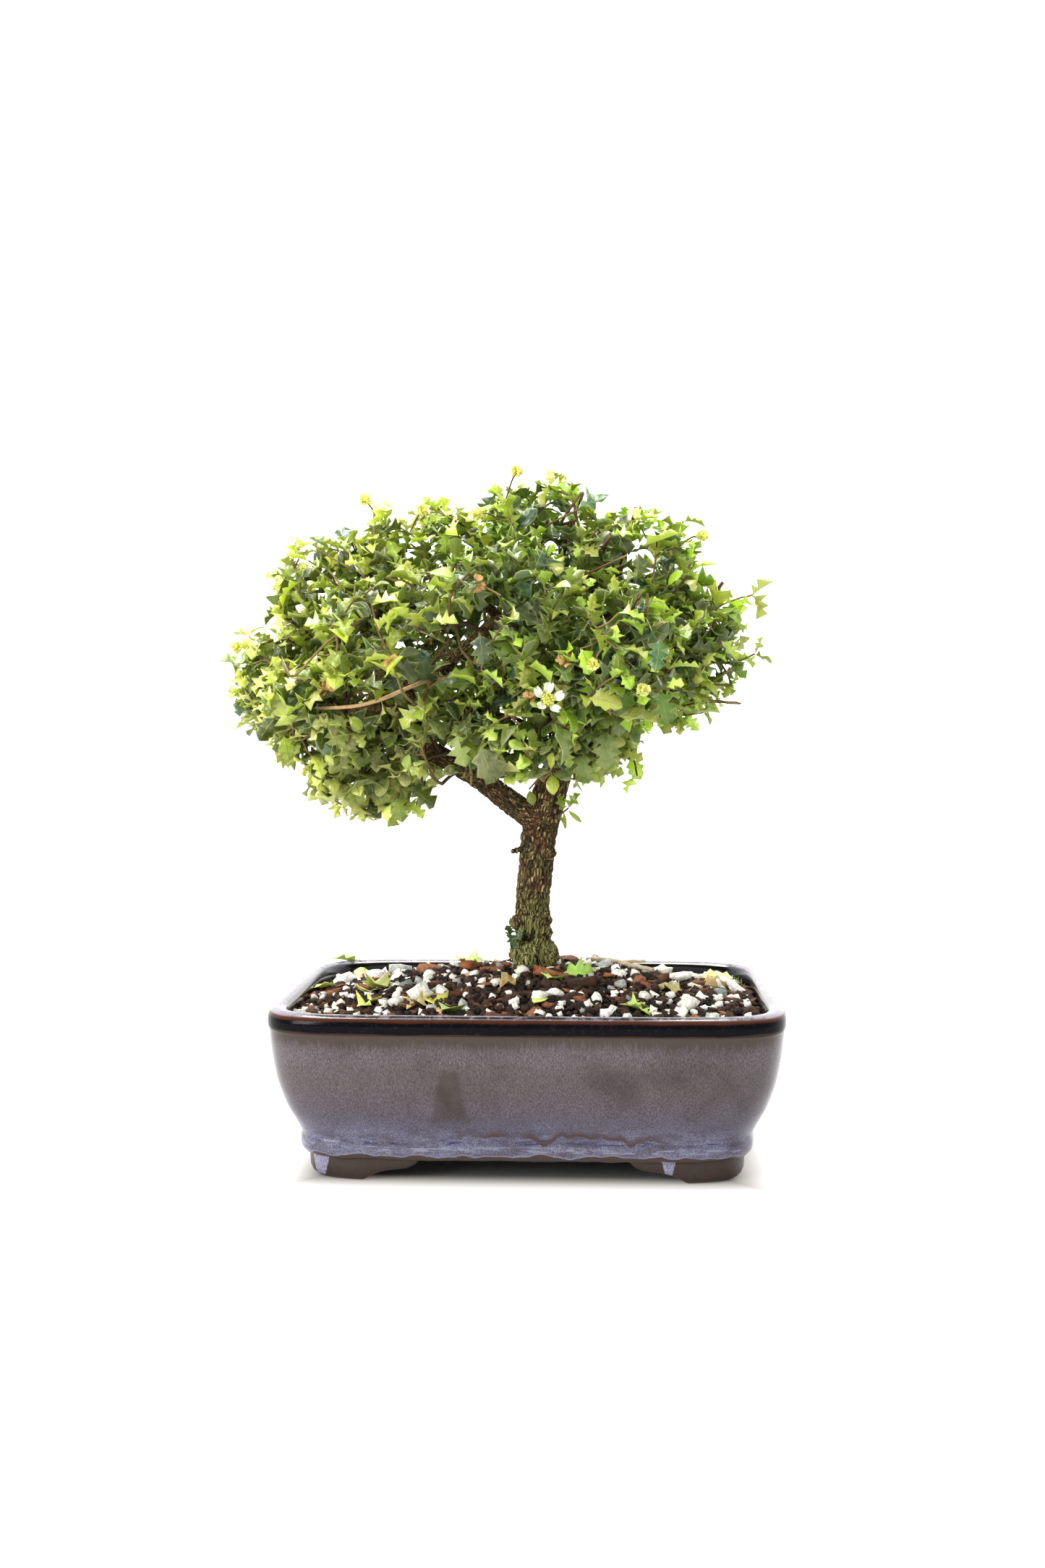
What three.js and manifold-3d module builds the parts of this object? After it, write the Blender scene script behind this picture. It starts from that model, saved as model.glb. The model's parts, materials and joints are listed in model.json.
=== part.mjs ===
// A dwarf holly bonsai in its glazed rectangular pot, as a scene graph of named closed meshes.
// Millimetres, +Z up. The pot's long side runs along X and its front faces -Y. While it is modelled, the
// middle of the pot's underside is the origin. The last lines centre the whole bonsai on its footprint.
import * as THREE from "three";
import { mergeVertices } from "three/addons/utils/BufferGeometryUtils.js";
import Module from "manifold-3d";

const wasm = await Module();
wasm.setup();

const V = (x, y, z) => new THREE.Vector3(x, y, z);
const UP = V(0, 0, 1);
const FULL_TURN = 2 * Math.PI;

// Driving dimensions of the pot
const POT = {
  halfLength: 105,
  halfDepth: 79.5,
  height: 68.3,
  squareness: 7.4, // exponent of the superellipse that its plan is
  underside: 9.2,
  floorTop: 15,
  wall: 7.8,
};
const FOOT = { scale: 0.851, width: 13, chamfer: 3 };
const DRAIN = { radius: 7, spacing: 90 };
const RING_POINTS = 24;

// Driving dimensions of the planting
const CLEARANCE = 0.35; // between pieces that grow or lie in each other
const SOIL_EDGE_Z = 61.5;
const SOIL_MOUND = 13;
const TRUNK_FOOT = V(1, 10, 0);
const BLADE = 0.65; // thickness of a leaf or petal
const SIZE_PER_LEAF = 5.3; // a spray has one leaf for each such length of its half size
const LEAF_LENGTH = [17, 22];
const LEAF_STANDS_OUT = 12.5; // from the core of a spray to its furthest leaf tips
const LEAF_SUNK = 1.2;
const LEAF_LEAN = [0.5, 1.2]; // slope of a leaf away from the way its facet faces
const CELL_GAP = 0.4; // between one spray and the next, on each side of their border
const PERLITE_GRAINS = 20;
const BARK_CHIPS = 8;

// Materials
const paint = (color, roughness, metalness = 0) =>
  new THREE.MeshStandardMaterial({ color, roughness, metalness });
const GLAZE = paint(0x6f6a7c, 0.2);
const SOIL = paint(0x3b2a20, 0.95);
const BARK = paint(0x6b5a41, 0.85);
const LEAF = paint(0x5f8f2e, 0.4);
const SHED_LEAF = paint(0xb4c05a, 0.6);
const FLOWER = paint(0xf2eecb, 0.6);
const SCREEN = paint(0x2b2b2b, 0.7);
const DRY_TWIG = paint(0xb9a68a, 0.85);

// Repeatable random numbers from 0 to 1.
function seeded(seed) {
  let state = seed >>> 0;
  return () => {
    state = (state + 0x6d2b79f5) | 0;
    let t = Math.imul(state ^ (state >>> 15), 1 | state);
    t = (t + Math.imul(t ^ (t >>> 7), 61 | t)) ^ t;
    return ((t ^ (t >>> 14)) >>> 0) / 2 ** 32;
  };
}
const between = (random, low, high) => low + (high - low) * random();

// Solids

function solidOf(geometry) {
  const bare = new THREE.BufferGeometry();
  bare.setAttribute("position", geometry.getAttribute("position"));
  bare.setIndex(geometry.index);
  const merged = mergeVertices(bare, 1e-4);
  return new wasm.Manifold(
    new wasm.Mesh({
      numProp: 3,
      vertProperties: merged.attributes.position.array,
      triVerts: new Uint32Array(merged.index.array),
    }),
  );
}

function geometryOf(solid) {
  const mesh = solid.getMesh();
  const geometry = new THREE.BufferGeometry();
  geometry.setAttribute("position", new THREE.BufferAttribute(mesh.vertProperties, 3));
  geometry.setIndex(new THREE.BufferAttribute(mesh.triVerts, 1));
  return geometry;
}

const union = (solids) => solids.reduce((all, next) => all.add(next));

// The largest body of a solid, without the scraps that a cut leaves.
function largest(solid) {
  return solid.decompose().reduce((a, b) => (b.volume() > a.volume() ? b : a));
}

const bonsai = new THREE.Group();

function addPiece(name, solid, material) {
  const mesh = new THREE.Mesh(geometryOf(solid), material);
  mesh.name = name;
  bonsai.add(mesh);
}

// A closed surface through rings of points, each with the same number of points.
function loft(rings) {
  const n = rings[0].length;
  const middle = (ring) => ring.reduce((sum, p) => sum.add(p), V(0, 0, 0)).divideScalar(n);
  const points = [...rings.flat(), middle(rings[0]), middle(rings.at(-1))];
  const firstCap = points.length - 2;
  const lastCap = points.length - 1;
  const lastRing = (rings.length - 1) * n;
  const index = [];
  for (let i = 0; i < n; i++) {
    const j = (i + 1) % n;
    for (let row = 0; row < lastRing; row += n) {
      index.push(row + i, row + j, row + j + n);
      index.push(row + i, row + j + n, row + i + n);
    }
    index.push(firstCap, j, i);
    index.push(lastCap, lastRing + i, lastRing + j);
  }
  return new THREE.BufferGeometry().setFromPoints(points).setIndex(index);
}

// The pot's plan at a height: its superellipse, scaled about the middle and then moved inwards.
function potRing(z, scale, inset = 0, middle = V(0, 0, 0)) {
  const a = POT.halfLength * scale - inset;
  const b = POT.halfDepth * scale - inset;
  const power = (v) => Math.sign(v) * Math.abs(v) ** (2 / POT.squareness);
  return Array.from({ length: RING_POINTS }, (_, i) => {
    const turn = (i / RING_POINTS) * FULL_TURN;
    return V(middle.x + a * power(Math.cos(turn)), middle.y + b * power(Math.sin(turn)), z);
  });
}

// The pot: bowl with rolled lip, ledge, four cloud feet and two drain holes

// Rows of [height, scale of the plan, inset], up the outside and then down the inside
const POT_OUTSIDE = [
  [POT.underside, 0.862, 0],
  [10.2, 0.874, 0],
  [15.2, 0.884, 0],
  [17.4, 0.878, 0],
  [28, 0.93, 0],
  [40, 0.968, 0],
  [59.5, 0.994, 0],
  [61.5, 1, 0],
  [65.4, 1, 0.2],
  [POT.height, 1, 2.6],
];
const POT_INSIDE = [
  [POT.height, 1, 5.6],
  [66.2, 1, POT.wall],
  [56, 0.99, POT.wall],
  [28, 0.925, POT.wall],
  [POT.floorTop, 0.87, POT.wall],
];

function makePot() {
  const rows = [...POT_OUTSIDE, ...POT_INSIDE];
  const bowl = solidOf(loft(rows.map((row) => potRing(...row))));
  const plinth = solidOf(
    loft([
      potRing(0, FOOT.scale, FOOT.chamfer),
      potRing(FOOT.chamfer, FOOT.scale, FOOT.chamfer / 5),
      potRing(POT.underside + 1, FOOT.scale),
    ]),
  );
  const hollow = [-1, POT.underside + 2].map((z) => potRing(z, FOOT.scale, FOOT.width));
  const feet = plinth
    .subtract(solidOf(loft(hollow)))
    .subtract(solidOf(archway(POT.halfLength * FOOT.scale)))
    .subtract(solidOf(archway(POT.halfDepth * FOOT.scale).rotateZ(Math.PI / 2)));
  const drains = [-1, 1].map((side) =>
    solidOf(
      new THREE.CylinderGeometry(DRAIN.radius, DRAIN.radius, 4 * POT.underside, 16)
        .rotateX(Math.PI / 2)
        .translate((side * DRAIN.spacing) / 2, 0, 0),
    ),
  );
  return bowl.add(feet).subtract(union(drains));
}

// The cloud-shaped gap between the feet of a side with a given half length, running along Y.
function archway(half) {
  const steps = [
    [half * 0.71, -1],
    [half * 0.66, 3.4],
    [half * 0.49, 4.6],
    [half * 0.455, POT.underside],
  ];
  const shape = new THREE.Shape([
    ...steps.map(([x, z]) => new THREE.Vector2(-x, z)),
    ...steps.reverse().map(([x, z]) => new THREE.Vector2(x, z)),
  ]);
  const depth = 2.2 * POT.halfLength;
  return new THREE.ExtrudeGeometry(shape, { depth, bevelEnabled: false })
    .translate(0, 0, -depth / 2)
    .rotateX(Math.PI / 2);
}

// A square of plastic mesh over each drain hole, which keeps the soil in
const MESH = { size: 22, thickness: 0.9, barWidth: 3.4 };

function makeScreen(x) {
  const height = POT.floorTop + CLEARANCE + MESH.thickness / 2;
  const bars = [-MESH.size / 4, MESH.size / 4].flatMap((at) => {
    const bar = new THREE.BoxGeometry(MESH.size, MESH.barWidth, MESH.thickness).translate(0, at, 0);
    return [bar.clone().rotateZ(Math.PI / 2), bar];
  });
  return union(bars.map((bar) => solidOf(bar.translate(x, 0, height))));
}

// The wood, which grew as one piece: trunk with its root flare, branches, cut ends and roots.
// A limb starts on another, at a place counted in that limb's points. Radii run from its base to its tip.
const LIMBS = {
  trunk: {
    radii: [5, 9, 10.6, 8.4, 7.4, 7, 7.3, 7.2, 6.2, 5.4, 4.6, 3.6, 2.6],
    points: [
      [1, 10, 46],
      [1, 10, 62],
      [1, 10, 75],
      [0.8, 10, 83],
      [0.6, 10, 92],
      [0.8, 10, 108],
      [2.8, 10, 131],
      [6.2, 10.5, 146],
      [11, 11, 162],
      [16, 12, 181],
      [19, 12, 200],
      [16, 11, 222],
      [9, 9, 242],
    ],
  },
  left: {
    from: ["trunk", 6.4],
    radii: [5.2, 4.8, 4.4, 4, 3.4, 2.6],
    points: [[-13, 8, 150], [-25, 5, 159], [-44, 2, 170], [-69, 2, 184], [-90, 3, 194]],
  },
  left_bottom: { from: ["left", 3], radii: [2.6, 2], points: [[-59, -2, 167]] },
  left_front: { from: ["left", 3], radii: [2.6, 2.2, 1.8], points: [[-52, -16, 186], [-76, -29, 188]] },
  left_top: { from: ["left", 3.6], radii: [2.6, 2.2, 1.8], points: [[-72, 5, 206], [-80, 8, 224]] },
  left_middle: { from: ["left", 3], radii: [2.4, 2, 1.8], points: [[-49, -20, 192], [-54, -34, 204]] },
  left_back: { from: ["left", 3], radii: [2.6, 2.2, 1.8], points: [[-54, 26, 188], [-62, 42, 198]] },
  low_middle: { from: ["left", 2], radii: [2.4, 1.8], points: [[-30, -12, 169]] },
  crown_left: { from: ["trunk", 10], radii: [2.8, 2.4, 2], points: [[-1, 11, 216], [-30, 10, 241]] },
  centre_front: { from: ["left", 3], radii: [3, 2.5, 2], points: [[-37, -16, 201], [-14, -38, 224]] },
  centre_low: { from: ["trunk", 8], radii: [2.6, 2], points: [[2, -18, 177]] },
  centre_back: { from: ["trunk", 9], radii: [2.8, 2.3, 1.9], points: [[4, 34, 200], [-3, 48, 213]] },
  right_top: { from: ["trunk", 10], radii: [2.8, 2.2], points: [[36, 7, 232]] },
  right_front: { from: ["trunk", 9], radii: [2.8, 2.3, 1.9], points: [[26, -14, 194], [32, -34, 204]] },
  right_side: { from: ["trunk", 9], radii: [3, 2.5, 2], points: [[42, 9, 194], [58, 6, 205]] },
  right_low: { from: ["trunk", 8], radii: [2.6, 2], points: [[21, 1, 173]] },
  right_back: { from: ["trunk", 9], radii: [2.8, 2.3, 1.9], points: [[31, 32, 196], [40, 44, 204]] },
  // Bare and cut ends that stand out of the leaves
  cut_top: { from: ["trunk", 12], radii: [1.7, 1.2], points: [[22, 5, 281]] },
  cut_upper_right: { from: ["right_top", 0.8], radii: [1.5, 1.1], points: [[45, 2, 274]] },
  cut_front: { from: ["right_front", 1.8], radii: [1.4, 1.1], points: [[45, -74, 232]] },
  cut_right: { from: ["right_side", 1.9], radii: [1.4, 1], points: [[82, 2, 242]] },
  dead_right: { from: ["right_side", 1], radii: [1.3, 0.8], points: [[90, -2, 190]] },
};
const FLUTES = 9; // ridges round the trunk
const FLUTE_DEPTH = [0.92, 1.1];
const ROOTS = 4;
const ROOT = { reach: [38, 50], spread: [1.25, 0.85], starts: 0.05, top: 69, bottom: 36, radii: [5, 1.2] };
const TURN_WANDER = 0.4; // how far a root may turn from its even place, counted in the angle between two

const vectors = (points) => points.map((p) => V(...p));

// The middle line of a limb, from its start on the limb that it grew from.
function middleLine(name) {
  const { from, points } = LIMBS[name];
  const line = vectors(points);
  if (!from) return line;
  const parent = middleLine(from[0]);
  line.unshift(new THREE.CatmullRomCurve3(parent).getPoint(from[1] / (parent.length - 1)));
  return line;
}

// A round limb with closed ends. Its radius grows by extra, as the room that its neighbours leave for it.
function limb(line, radii, sides, extra = 0, uneven = () => 1) {
  const curve = new THREE.CatmullRomCurve3(line);
  const last = line.length - 1;
  const { tangents, normals, binormals } = curve.computeFrenetFrames(last);
  const rings = line.map((_, step) => {
    const middle = curve.getPoint(step / last);
    if (step === last) middle.addScaledVector(tangents[last], extra);
    return Array.from({ length: sides }, (_, side) => {
      const turn = (side / sides) * FULL_TURN;
      const radius = radii[step] * uneven(step, side) + extra;
      return middle
        .clone()
        .addScaledVector(normals[step], radius * Math.cos(turn))
        .addScaledVector(binormals[step], radius * Math.sin(turn));
    });
  });
  return solidOf(loft(rings));
}

function makeRoot(number, extra) {
  const random = seeded(70 + number);
  const turn = ((number + TURN_WANDER * random()) / ROOTS) * FULL_TURN;
  const reach = between(random, ...ROOT.reach);
  const at = (share, z) =>
    V(
      TRUNK_FOOT.x + Math.cos(turn) * reach * share * ROOT.spread[0],
      TRUNK_FOOT.y + Math.sin(turn) * reach * share * ROOT.spread[1],
      z,
    );
  return limb([at(ROOT.starts, ROOT.top), at(1, ROOT.bottom)], ROOT.radii, 6, extra);
}

function makeWood(extra) {
  const random = seeded(5);
  const ridges = LIMBS.trunk.points.map(() =>
    Array.from({ length: FLUTES }, () => between(random, ...FLUTE_DEPTH)),
  );
  const solids = Object.entries(LIMBS).map(([name, { radii }]) => {
    if (name === "trunk")
      return limb(middleLine(name), radii, FLUTES, extra, (step, side) => ridges[step][side]);
    return limb(middleLine(name), radii, radii[0] > 4 ? 8 : 5, extra);
  });
  for (let number = 0; number < ROOTS; number++) solids.push(makeRoot(number, extra));
  return union(solids);
}

// Blades

// A closed blade from its outline and the triangles of its upper face. Both faces take the same triangles.
function blade(outline, face) {
  const n = outline.length;
  const below = outline.map((p) => p.clone().addScaledVector(UP, -BLADE));
  const index = face.flatMap(([a, b, c]) => [a, b, c, n + a, n + c, n + b]);
  for (let i = 0; i < n; i++) {
    const j = (i + 1) % n;
    index.push(i, n + i, n + j, i, n + j, j);
  }
  return new THREE.BufferGeometry().setFromPoints([...outline, ...below]).setIndex(index);
}

// A holly leaf with spines on its edge. Its base is the origin, it runs along +X, and its upper face is up.
// Its spines are bent up, and its tip bends down.
const LEAF_EDGE = [
  [0.28, 0.5],
  [0.46, 0.25],
  [0.7, 0.46],
];
const LEAF_WIDTH = 0.66;
const LEAF_CUP = 0.3;
const LEAF_DROOP = 0.16;

function hollyLeaf(length, width = length * LEAF_WIDTH) {
  const at = ([along, across]) =>
    V(
      along * length,
      across * width,
      Math.abs(across) * width * LEAF_CUP - LEAF_DROOP * length * along ** 2,
    );
  const right = LEAF_EDGE.map(([along, across]) => at([along, -across]));
  const left = LEAF_EDGE.map(at).reverse();
  const outline = [at([0, 0]), ...right, at([1, 0]), ...left];
  return blade(outline, [
    [0, 1, 7],
    [1, 2, 7],
    [2, 6, 7],
    [2, 4, 6],
    [2, 3, 4],
    [4, 5, 6],
  ]);
}

// A blade moved so that its base is at a point, it runs along a direction, and its face looks a given way.
function placed(geometry, base, along, facing) {
  const x = along.clone().normalize();
  const y = V().crossVectors(facing, x).normalize();
  const z = V().crossVectors(x, y);
  return geometry.applyMatrix4(new THREE.Matrix4().makeBasis(x, y, z).setPosition(base));
}

// The leafy sprays of the crown: the middle of each, and its half size out to the leaf tips
const SPRAYS = {
  left_tip: { middle: V(-106, 5, 199), half: V(26, 32, 25) },
  left_bottom: { middle: V(-68, -2, 165), half: V(33, 34, 26) },
  left_front: { middle: V(-86, -36, 187), half: V(28, 28, 26) },
  left_top: { middle: V(-84, 8, 236), half: V(32, 36, 29) },
  left_middle: { middle: V(-54, -46, 214), half: V(35, 32, 32) },
  left_back: { middle: V(-66, 54, 206), half: V(38, 33, 34) },
  low_middle: { middle: V(-33, -22, 177), half: V(28, 29, 27) },
  crown_left: { middle: V(-44, 10, 251), half: V(38, 40, 30) },
  crown_top: { middle: V(4, 8, 258), half: V(36, 40, 32) },
  centre_front: { middle: V(-10, -50, 228), half: V(35, 32, 33) },
  centre_low: { middle: V(-4, -34, 182), half: V(30, 30, 30) },
  centre_back: { middle: V(-8, 58, 222), half: V(40, 33, 35) },
  right_top: { middle: V(43, 5, 244), half: V(35, 38, 31) },
  right_front: { middle: V(34, -44, 210), half: V(34, 32, 34) },
  right_side: { middle: V(64, 5, 212), half: V(29, 34, 33) },
  right_low: { middle: V(23, -6, 181), half: V(27, 29, 27) },
  right_back: { middle: V(46, 54, 210), half: V(36, 32, 33) },
};

// Where a spray meets another: the way across their border, and how far along it the border lies.
function borderWith(spray, other) {
  const across = other.middle.clone().sub(spray.middle);
  const distance = across.length();
  across.normalize();
  const reach = spray.half.clone().multiply(across).length();
  const share = reach / (reach + other.half.clone().multiply(across).length());
  return { across, far: spray.middle.dot(across) + distance * share - CELL_GAP };
}

// The dense heart of a spray, which the outer leaves stand out of. Its corners are pointed tufts and dips.
const TUFT = [1.1, 1.32];
const DIP = [0.74, 0.94];
const TUFT_SHARE = 0.45; // of the corners

function makeCore(middle, half, random) {
  const core = new THREE.IcosahedronGeometry(1, 1);
  const position = core.getAttribute("position");
  const lengths = new Map();
  for (let i = 0; i < position.count; i++) {
    const p = V().fromBufferAttribute(position, i);
    const corner = p.toArray().map((v) => v.toFixed(3)).join();
    if (!lengths.has(corner)) lengths.set(corner, between(random, ...(random() < TUFT_SHARE ? TUFT : DIP)));
    p.multiplyScalar(lengths.get(corner)).multiply(half).add(middle);
    position.setXYZ(i, ...p);
  }
  return core;
}

// The facets of a core, each as its middle and the way it faces, the best spread ones first.
function spreadFacets(core) {
  const position = core.getAttribute("position");
  const facets = [];
  for (let i = 0; i < position.count; i += 3) {
    const corners = [0, 1, 2].map((k) => V().fromBufferAttribute(position, i + k));
    const facet = new THREE.Triangle(...corners);
    facets.push({ middle: facet.getMidpoint(V()), normal: facet.getNormal(V()) });
  }
  const spread = [];
  while (facets.length) {
    const room = (facet) => Math.min(...spread.map((other) => other.middle.distanceTo(facet.middle)));
    facets.sort((one, other) => room(one) - room(other));
    spread.push(facets.pop());
  }
  return spread;
}

const CORES = {};
Object.entries(SPRAYS).forEach(([name, { middle, half }], i) => {
  CORES[name] = makeCore(middle, half.clone().subScalar(LEAF_STANDS_OUT), seeded(300 + i));
});

const FLOWER_ROOM = 9; // between a flower's middle and the leaves
const LEAF_ATTEMPTS = 3;
const LEAF_FACES_UP = 0.35;
const SIDEWAYS = V(0.3, 0.2, 0.93); // a direction that no facet's normal has

function makeSpray(name, number, growthRoom, flowerHeads) {
  const spray = SPRAYS[name];
  const core = CORES[name];
  const random = seeded(600 + number);
  const borders = Object.values(SPRAYS)
    .filter((other) => other !== spray)
    .map((other) => borderWith(spray, other));
  const hasRoom = (leaf) => {
    const corners = leaf.getAttribute("position");
    for (let i = 0; i < corners.count; i++) {
      const p = V().fromBufferAttribute(corners, i);
      if (borders.some(({ across, far }) => p.dot(across) > far)) return false;
      if (flowerHeads.some((head) => head.distanceTo(p) < FLOWER_ROOM)) return false;
    }
    return true;
  };
  let solid = solidOf(core);
  for (const { across, far } of borders)
    solid = solid.trimByPlane(across.clone().negate().toArray(), -far);

  // A leaf grows out of a facet where it has room. It may be tried at several turns.
  const leaves = [];
  const leafCount = Math.round(spray.half.length() / SIZE_PER_LEAF);
  for (const { middle, normal } of spreadFacets(core)) {
    const base = middle.addScaledVector(normal, -LEAF_SUNK);
    const side = V().crossVectors(normal, SIDEWAYS).normalize();
    for (let attempt = 0; attempt < LEAF_ATTEMPTS && leaves.length < leafCount; attempt++) {
      const along = side.clone().applyAxisAngle(normal, between(random, 0, FULL_TURN));
      along.multiplyScalar(between(random, ...LEAF_LEAN)).add(normal);
      const facing = normal.clone().addScaledVector(UP, LEAF_FACES_UP);
      const leaf = placed(hollyLeaf(between(random, ...LEAF_LENGTH)), base, along, facing);
      const leafSolid = solidOf(leaf);
      if (!hasRoom(leaf) || leaves.some((other) => other.intersect(leafSolid).volume() > 0)) continue;
      leaves.push(leafSolid);
      break;
    }
  }
  return largest(union([solid, ...leaves]).subtract(growthRoom));
}

// Flowers: five petals, each narrow at its base, round a yellow middle, on a thin stalk out of a spray
const FLOWERS = {
  top: { spray: "crown_top", head: V(-6, -5, 288) },
  upper_left: { spray: "crown_left", head: V(-71, 0, 277) },
  crown_left: { spray: "crown_left", head: V(-44, -22, 270) },
  crown_front: { spray: "crown_top", head: V(-21, -24, 268) },
  upper_right: { spray: "right_top", head: V(73, 0, 261) },
  centre: { spray: "centre_low", head: V(9, -66, 191) },
  right: { spray: "right_front", head: V(46, -71, 195) },
  front: { spray: "right_front", head: V(27, -76, 205) },
  left: { spray: "left_tip", head: V(-127, 0, 214) },
};
const FLOWER_LOOKS_TO = V(0, -0.75, 0.66);
const FLOWER_TURN = 0.6; // share of the turn from the stalk's own way to that
const PETALS = 5;
const PETAL = { start: 0.9, length: 6, width: 5.6, cup: 0.9 };
const FLOWER_MIDDLE_RADIUS = 2.5;
const STALK_RADIUS = 0.7;
const STALK_SUNK = 5;
const STALK_BEND = { share: 0.6, rise: 1.4 };

// Where a stalk starts, inside the core of the spray that it grows out of.
function stalkFoot({ spray, head }) {
  const way = SPRAYS[spray].middle.clone().sub(head).normalize();
  const surface = new THREE.Mesh(CORES[spray]);
  const [hit] = new THREE.Raycaster(head, way).intersectObject(surface);
  return hit.point.addScaledVector(way, STALK_SUNK);
}

function makeStalk(flower, extra = 0) {
  const { head } = flower;
  const foot = stalkFoot(flower);
  const bend = foot.clone().lerp(head, STALK_BEND.share).addScaledVector(UP, STALK_BEND.rise);
  return limb([foot, bend, head], [STALK_RADIUS, STALK_RADIUS, STALK_RADIUS], 4, extra);
}

function makeFlower(flower) {
  const { head } = flower;
  const facing = head.clone().sub(stalkFoot(flower)).normalize();
  facing.lerp(FLOWER_LOOKS_TO, FLOWER_TURN).normalize();
  const start = V().crossVectors(facing, V(1, 0.2, 0)).normalize();
  const middle = new THREE.OctahedronGeometry(FLOWER_MIDDLE_RADIUS).translate(...head);
  const parts = [makeStalk(flower), solidOf(middle)];
  for (let k = 0; k < PETALS; k++) {
    const petal = blade(
      [
        V(0, 0, 0),
        V(PETAL.length, -PETAL.width / 2, PETAL.cup),
        V(PETAL.length, PETAL.width / 2, PETAL.cup),
      ],
      [[0, 1, 2]],
    );
    const along = start.clone().applyAxisAngle(facing, (k / PETALS) * FULL_TURN);
    const base = head.clone().addScaledVector(along, PETAL.start);
    parts.push(solidOf(placed(petal, base, along, facing)));
  }
  return union(parts);
}

// A small leafy shoot on the trunk, with its leaves in pairs.
const SHOOTS = {
  right: { base: V(8, 6, 140), tip: V(17, 3, 145), leafLength: 9, pairs: 2 },
  foot: { base: V(-3, 6, 88), tip: V(-12, 1, 92), leafLength: 8, pairs: 1 },
};
const SHOOT_RADIUS = 0.8;
const FIRST_PAIR = { place: 0.94, forward: 0.5 };
const NEXT_PAIR = { place: -0.3, forward: -0.35 };
const SHOOT_FACES = V(0.1, -1, 0.4);

function makeShoot({ base, tip, leafLength, pairs }, growthRoom) {
  const stem = [base, base.clone().lerp(tip, 0.5), tip];
  const parts = [limb(stem, stem.map(() => SHOOT_RADIUS), 5)];
  const axis = tip.clone().sub(base).normalize();
  const side = V().crossVectors(axis, V(0, -1, 0.2)).normalize();
  for (let pair = 0; pair < pairs; pair++)
    for (const hand of [1, -1]) {
      const forward = FIRST_PAIR.forward + NEXT_PAIR.forward * pair;
      const along = side.clone().multiplyScalar(hand).addScaledVector(axis, forward);
      const point = base.clone().lerp(tip, FIRST_PAIR.place + NEXT_PAIR.place * pair);
      parts.push(solidOf(placed(hollyLeaf(leafLength), point, along, SHOOT_FACES)));
    }
  return largest(union(parts).subtract(growthRoom));
}
// The soil: it fills the pot, rises to the trunk, and carries perlite and bark
const SOIL_RINGS = [0.96, 0.84, 0.71, 0.58, 0.45, 0.31, 0.18];
const SOIL_WIDTH = 0.905; // of its top, as a share of the pot's
const SOIL_RELIEF = 1.2;
const RIM_SCALE = 0.995; // of the pot's plan where the soil ends

function soilHeight(x, y) {
  const dx = (x - TRUNK_FOOT.x) / POT.halfLength;
  const dy = (y - TRUNK_FOOT.y) / POT.halfDepth;
  const far = Math.min(1, dx ** 2 + dy ** 2);
  return SOIL_EDGE_Z + SOIL_MOUND * (1 - far) ** 1.6;
}

function makeSoil(woodRoom) {
  const side = POT_INSIDE.slice(2).reverse();
  const rings = side.map(([z, scale, inset]) => potRing(z, scale, inset + 2 * CLEARANCE));
  for (const p of rings[0]) p.z += CLEARANCE;
  rings.push(potRing(SOIL_EDGE_Z - 1, RIM_SCALE, POT.wall + 2 * CLEARANCE));
  const random = seeded(23);
  for (const share of SOIL_RINGS) {
    const ring = potRing(0, share * SOIL_WIDTH, 0, TRUNK_FOOT.clone().multiplyScalar(1 - share));
    for (const p of ring) p.z = soilHeight(p.x, p.y) + between(random, -1, 1) * SOIL_RELIEF;
    rings.push(ring);
  }
  const screens = [-1, 1].map((hand) => {
    const width = MESH.size + 2 * CLEARANCE;
    const height = 2 * (MESH.thickness + 2 * CLEARANCE);
    const room = new THREE.BoxGeometry(width, width, height);
    return solidOf(room.translate((hand * DRAIN.spacing) / 2, 0, POT.floorTop));
  });
  const grains = grainPlaces().map((place, k) => {
    const grainRandom = seeded(500 + k);
    const grain = k < PERLITE_GRAINS ? perlite(grainRandom) : barkChip(grainRandom);
    return solidOf(grain.translate(place.x, place.y, soilHeight(place.x, place.y)));
  });
  return largest(union([solidOf(loft(rings)), ...grains]).subtract(woodRoom).subtract(union(screens)));
}

// Each grain takes the best of several places: the one furthest from the grains before it.
const GRAINS = { halfLength: 88, halfDepth: 63, fromTrunk: 19, attempts: 14, enoughRoom: 60 };

function grainPlaces() {
  const random = seeded(41);
  const places = [];
  while (places.length < PERLITE_GRAINS + BARK_CHIPS) {
    let best = null;
    for (let attempt = 0; attempt < GRAINS.attempts; attempt++) {
      const x = between(random, -GRAINS.halfLength, GRAINS.halfLength);
      const place = V(x, between(random, -GRAINS.halfDepth, GRAINS.halfDepth), 0);
      const room = Math.min(GRAINS.enoughRoom, ...places.map((other) => other.distanceTo(place)));
      if (place.distanceTo(TRUNK_FOOT) < GRAINS.fromTrunk) continue;
      if (!best || room > best.room) best = { place, room };
    }
    places.push(best.place);
  }
  return places;
}

function turned(geometry, random, tilt) {
  geometry.rotateX(between(random, -tilt, tilt));
  geometry.rotateY(between(random, -tilt, tilt));
  return geometry.rotateZ(between(random, 0, FULL_TURN));
}

const PERLITE = { radius: [2.9, 4.4], stretch: [[0.9, 1.35], [0.8, 1.1], [0.7, 0.9]], tilt: 0.7 };

function perlite(random) {
  const grain = new THREE.OctahedronGeometry(between(random, ...PERLITE.radius));
  grain.scale(...PERLITE.stretch.map((range) => between(random, ...range)));
  return turned(grain, random, PERLITE.tilt);
}

const CHIP = { length: [8, 13], width: [3, 5], thickness: 3, tilt: 0.22 };

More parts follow.
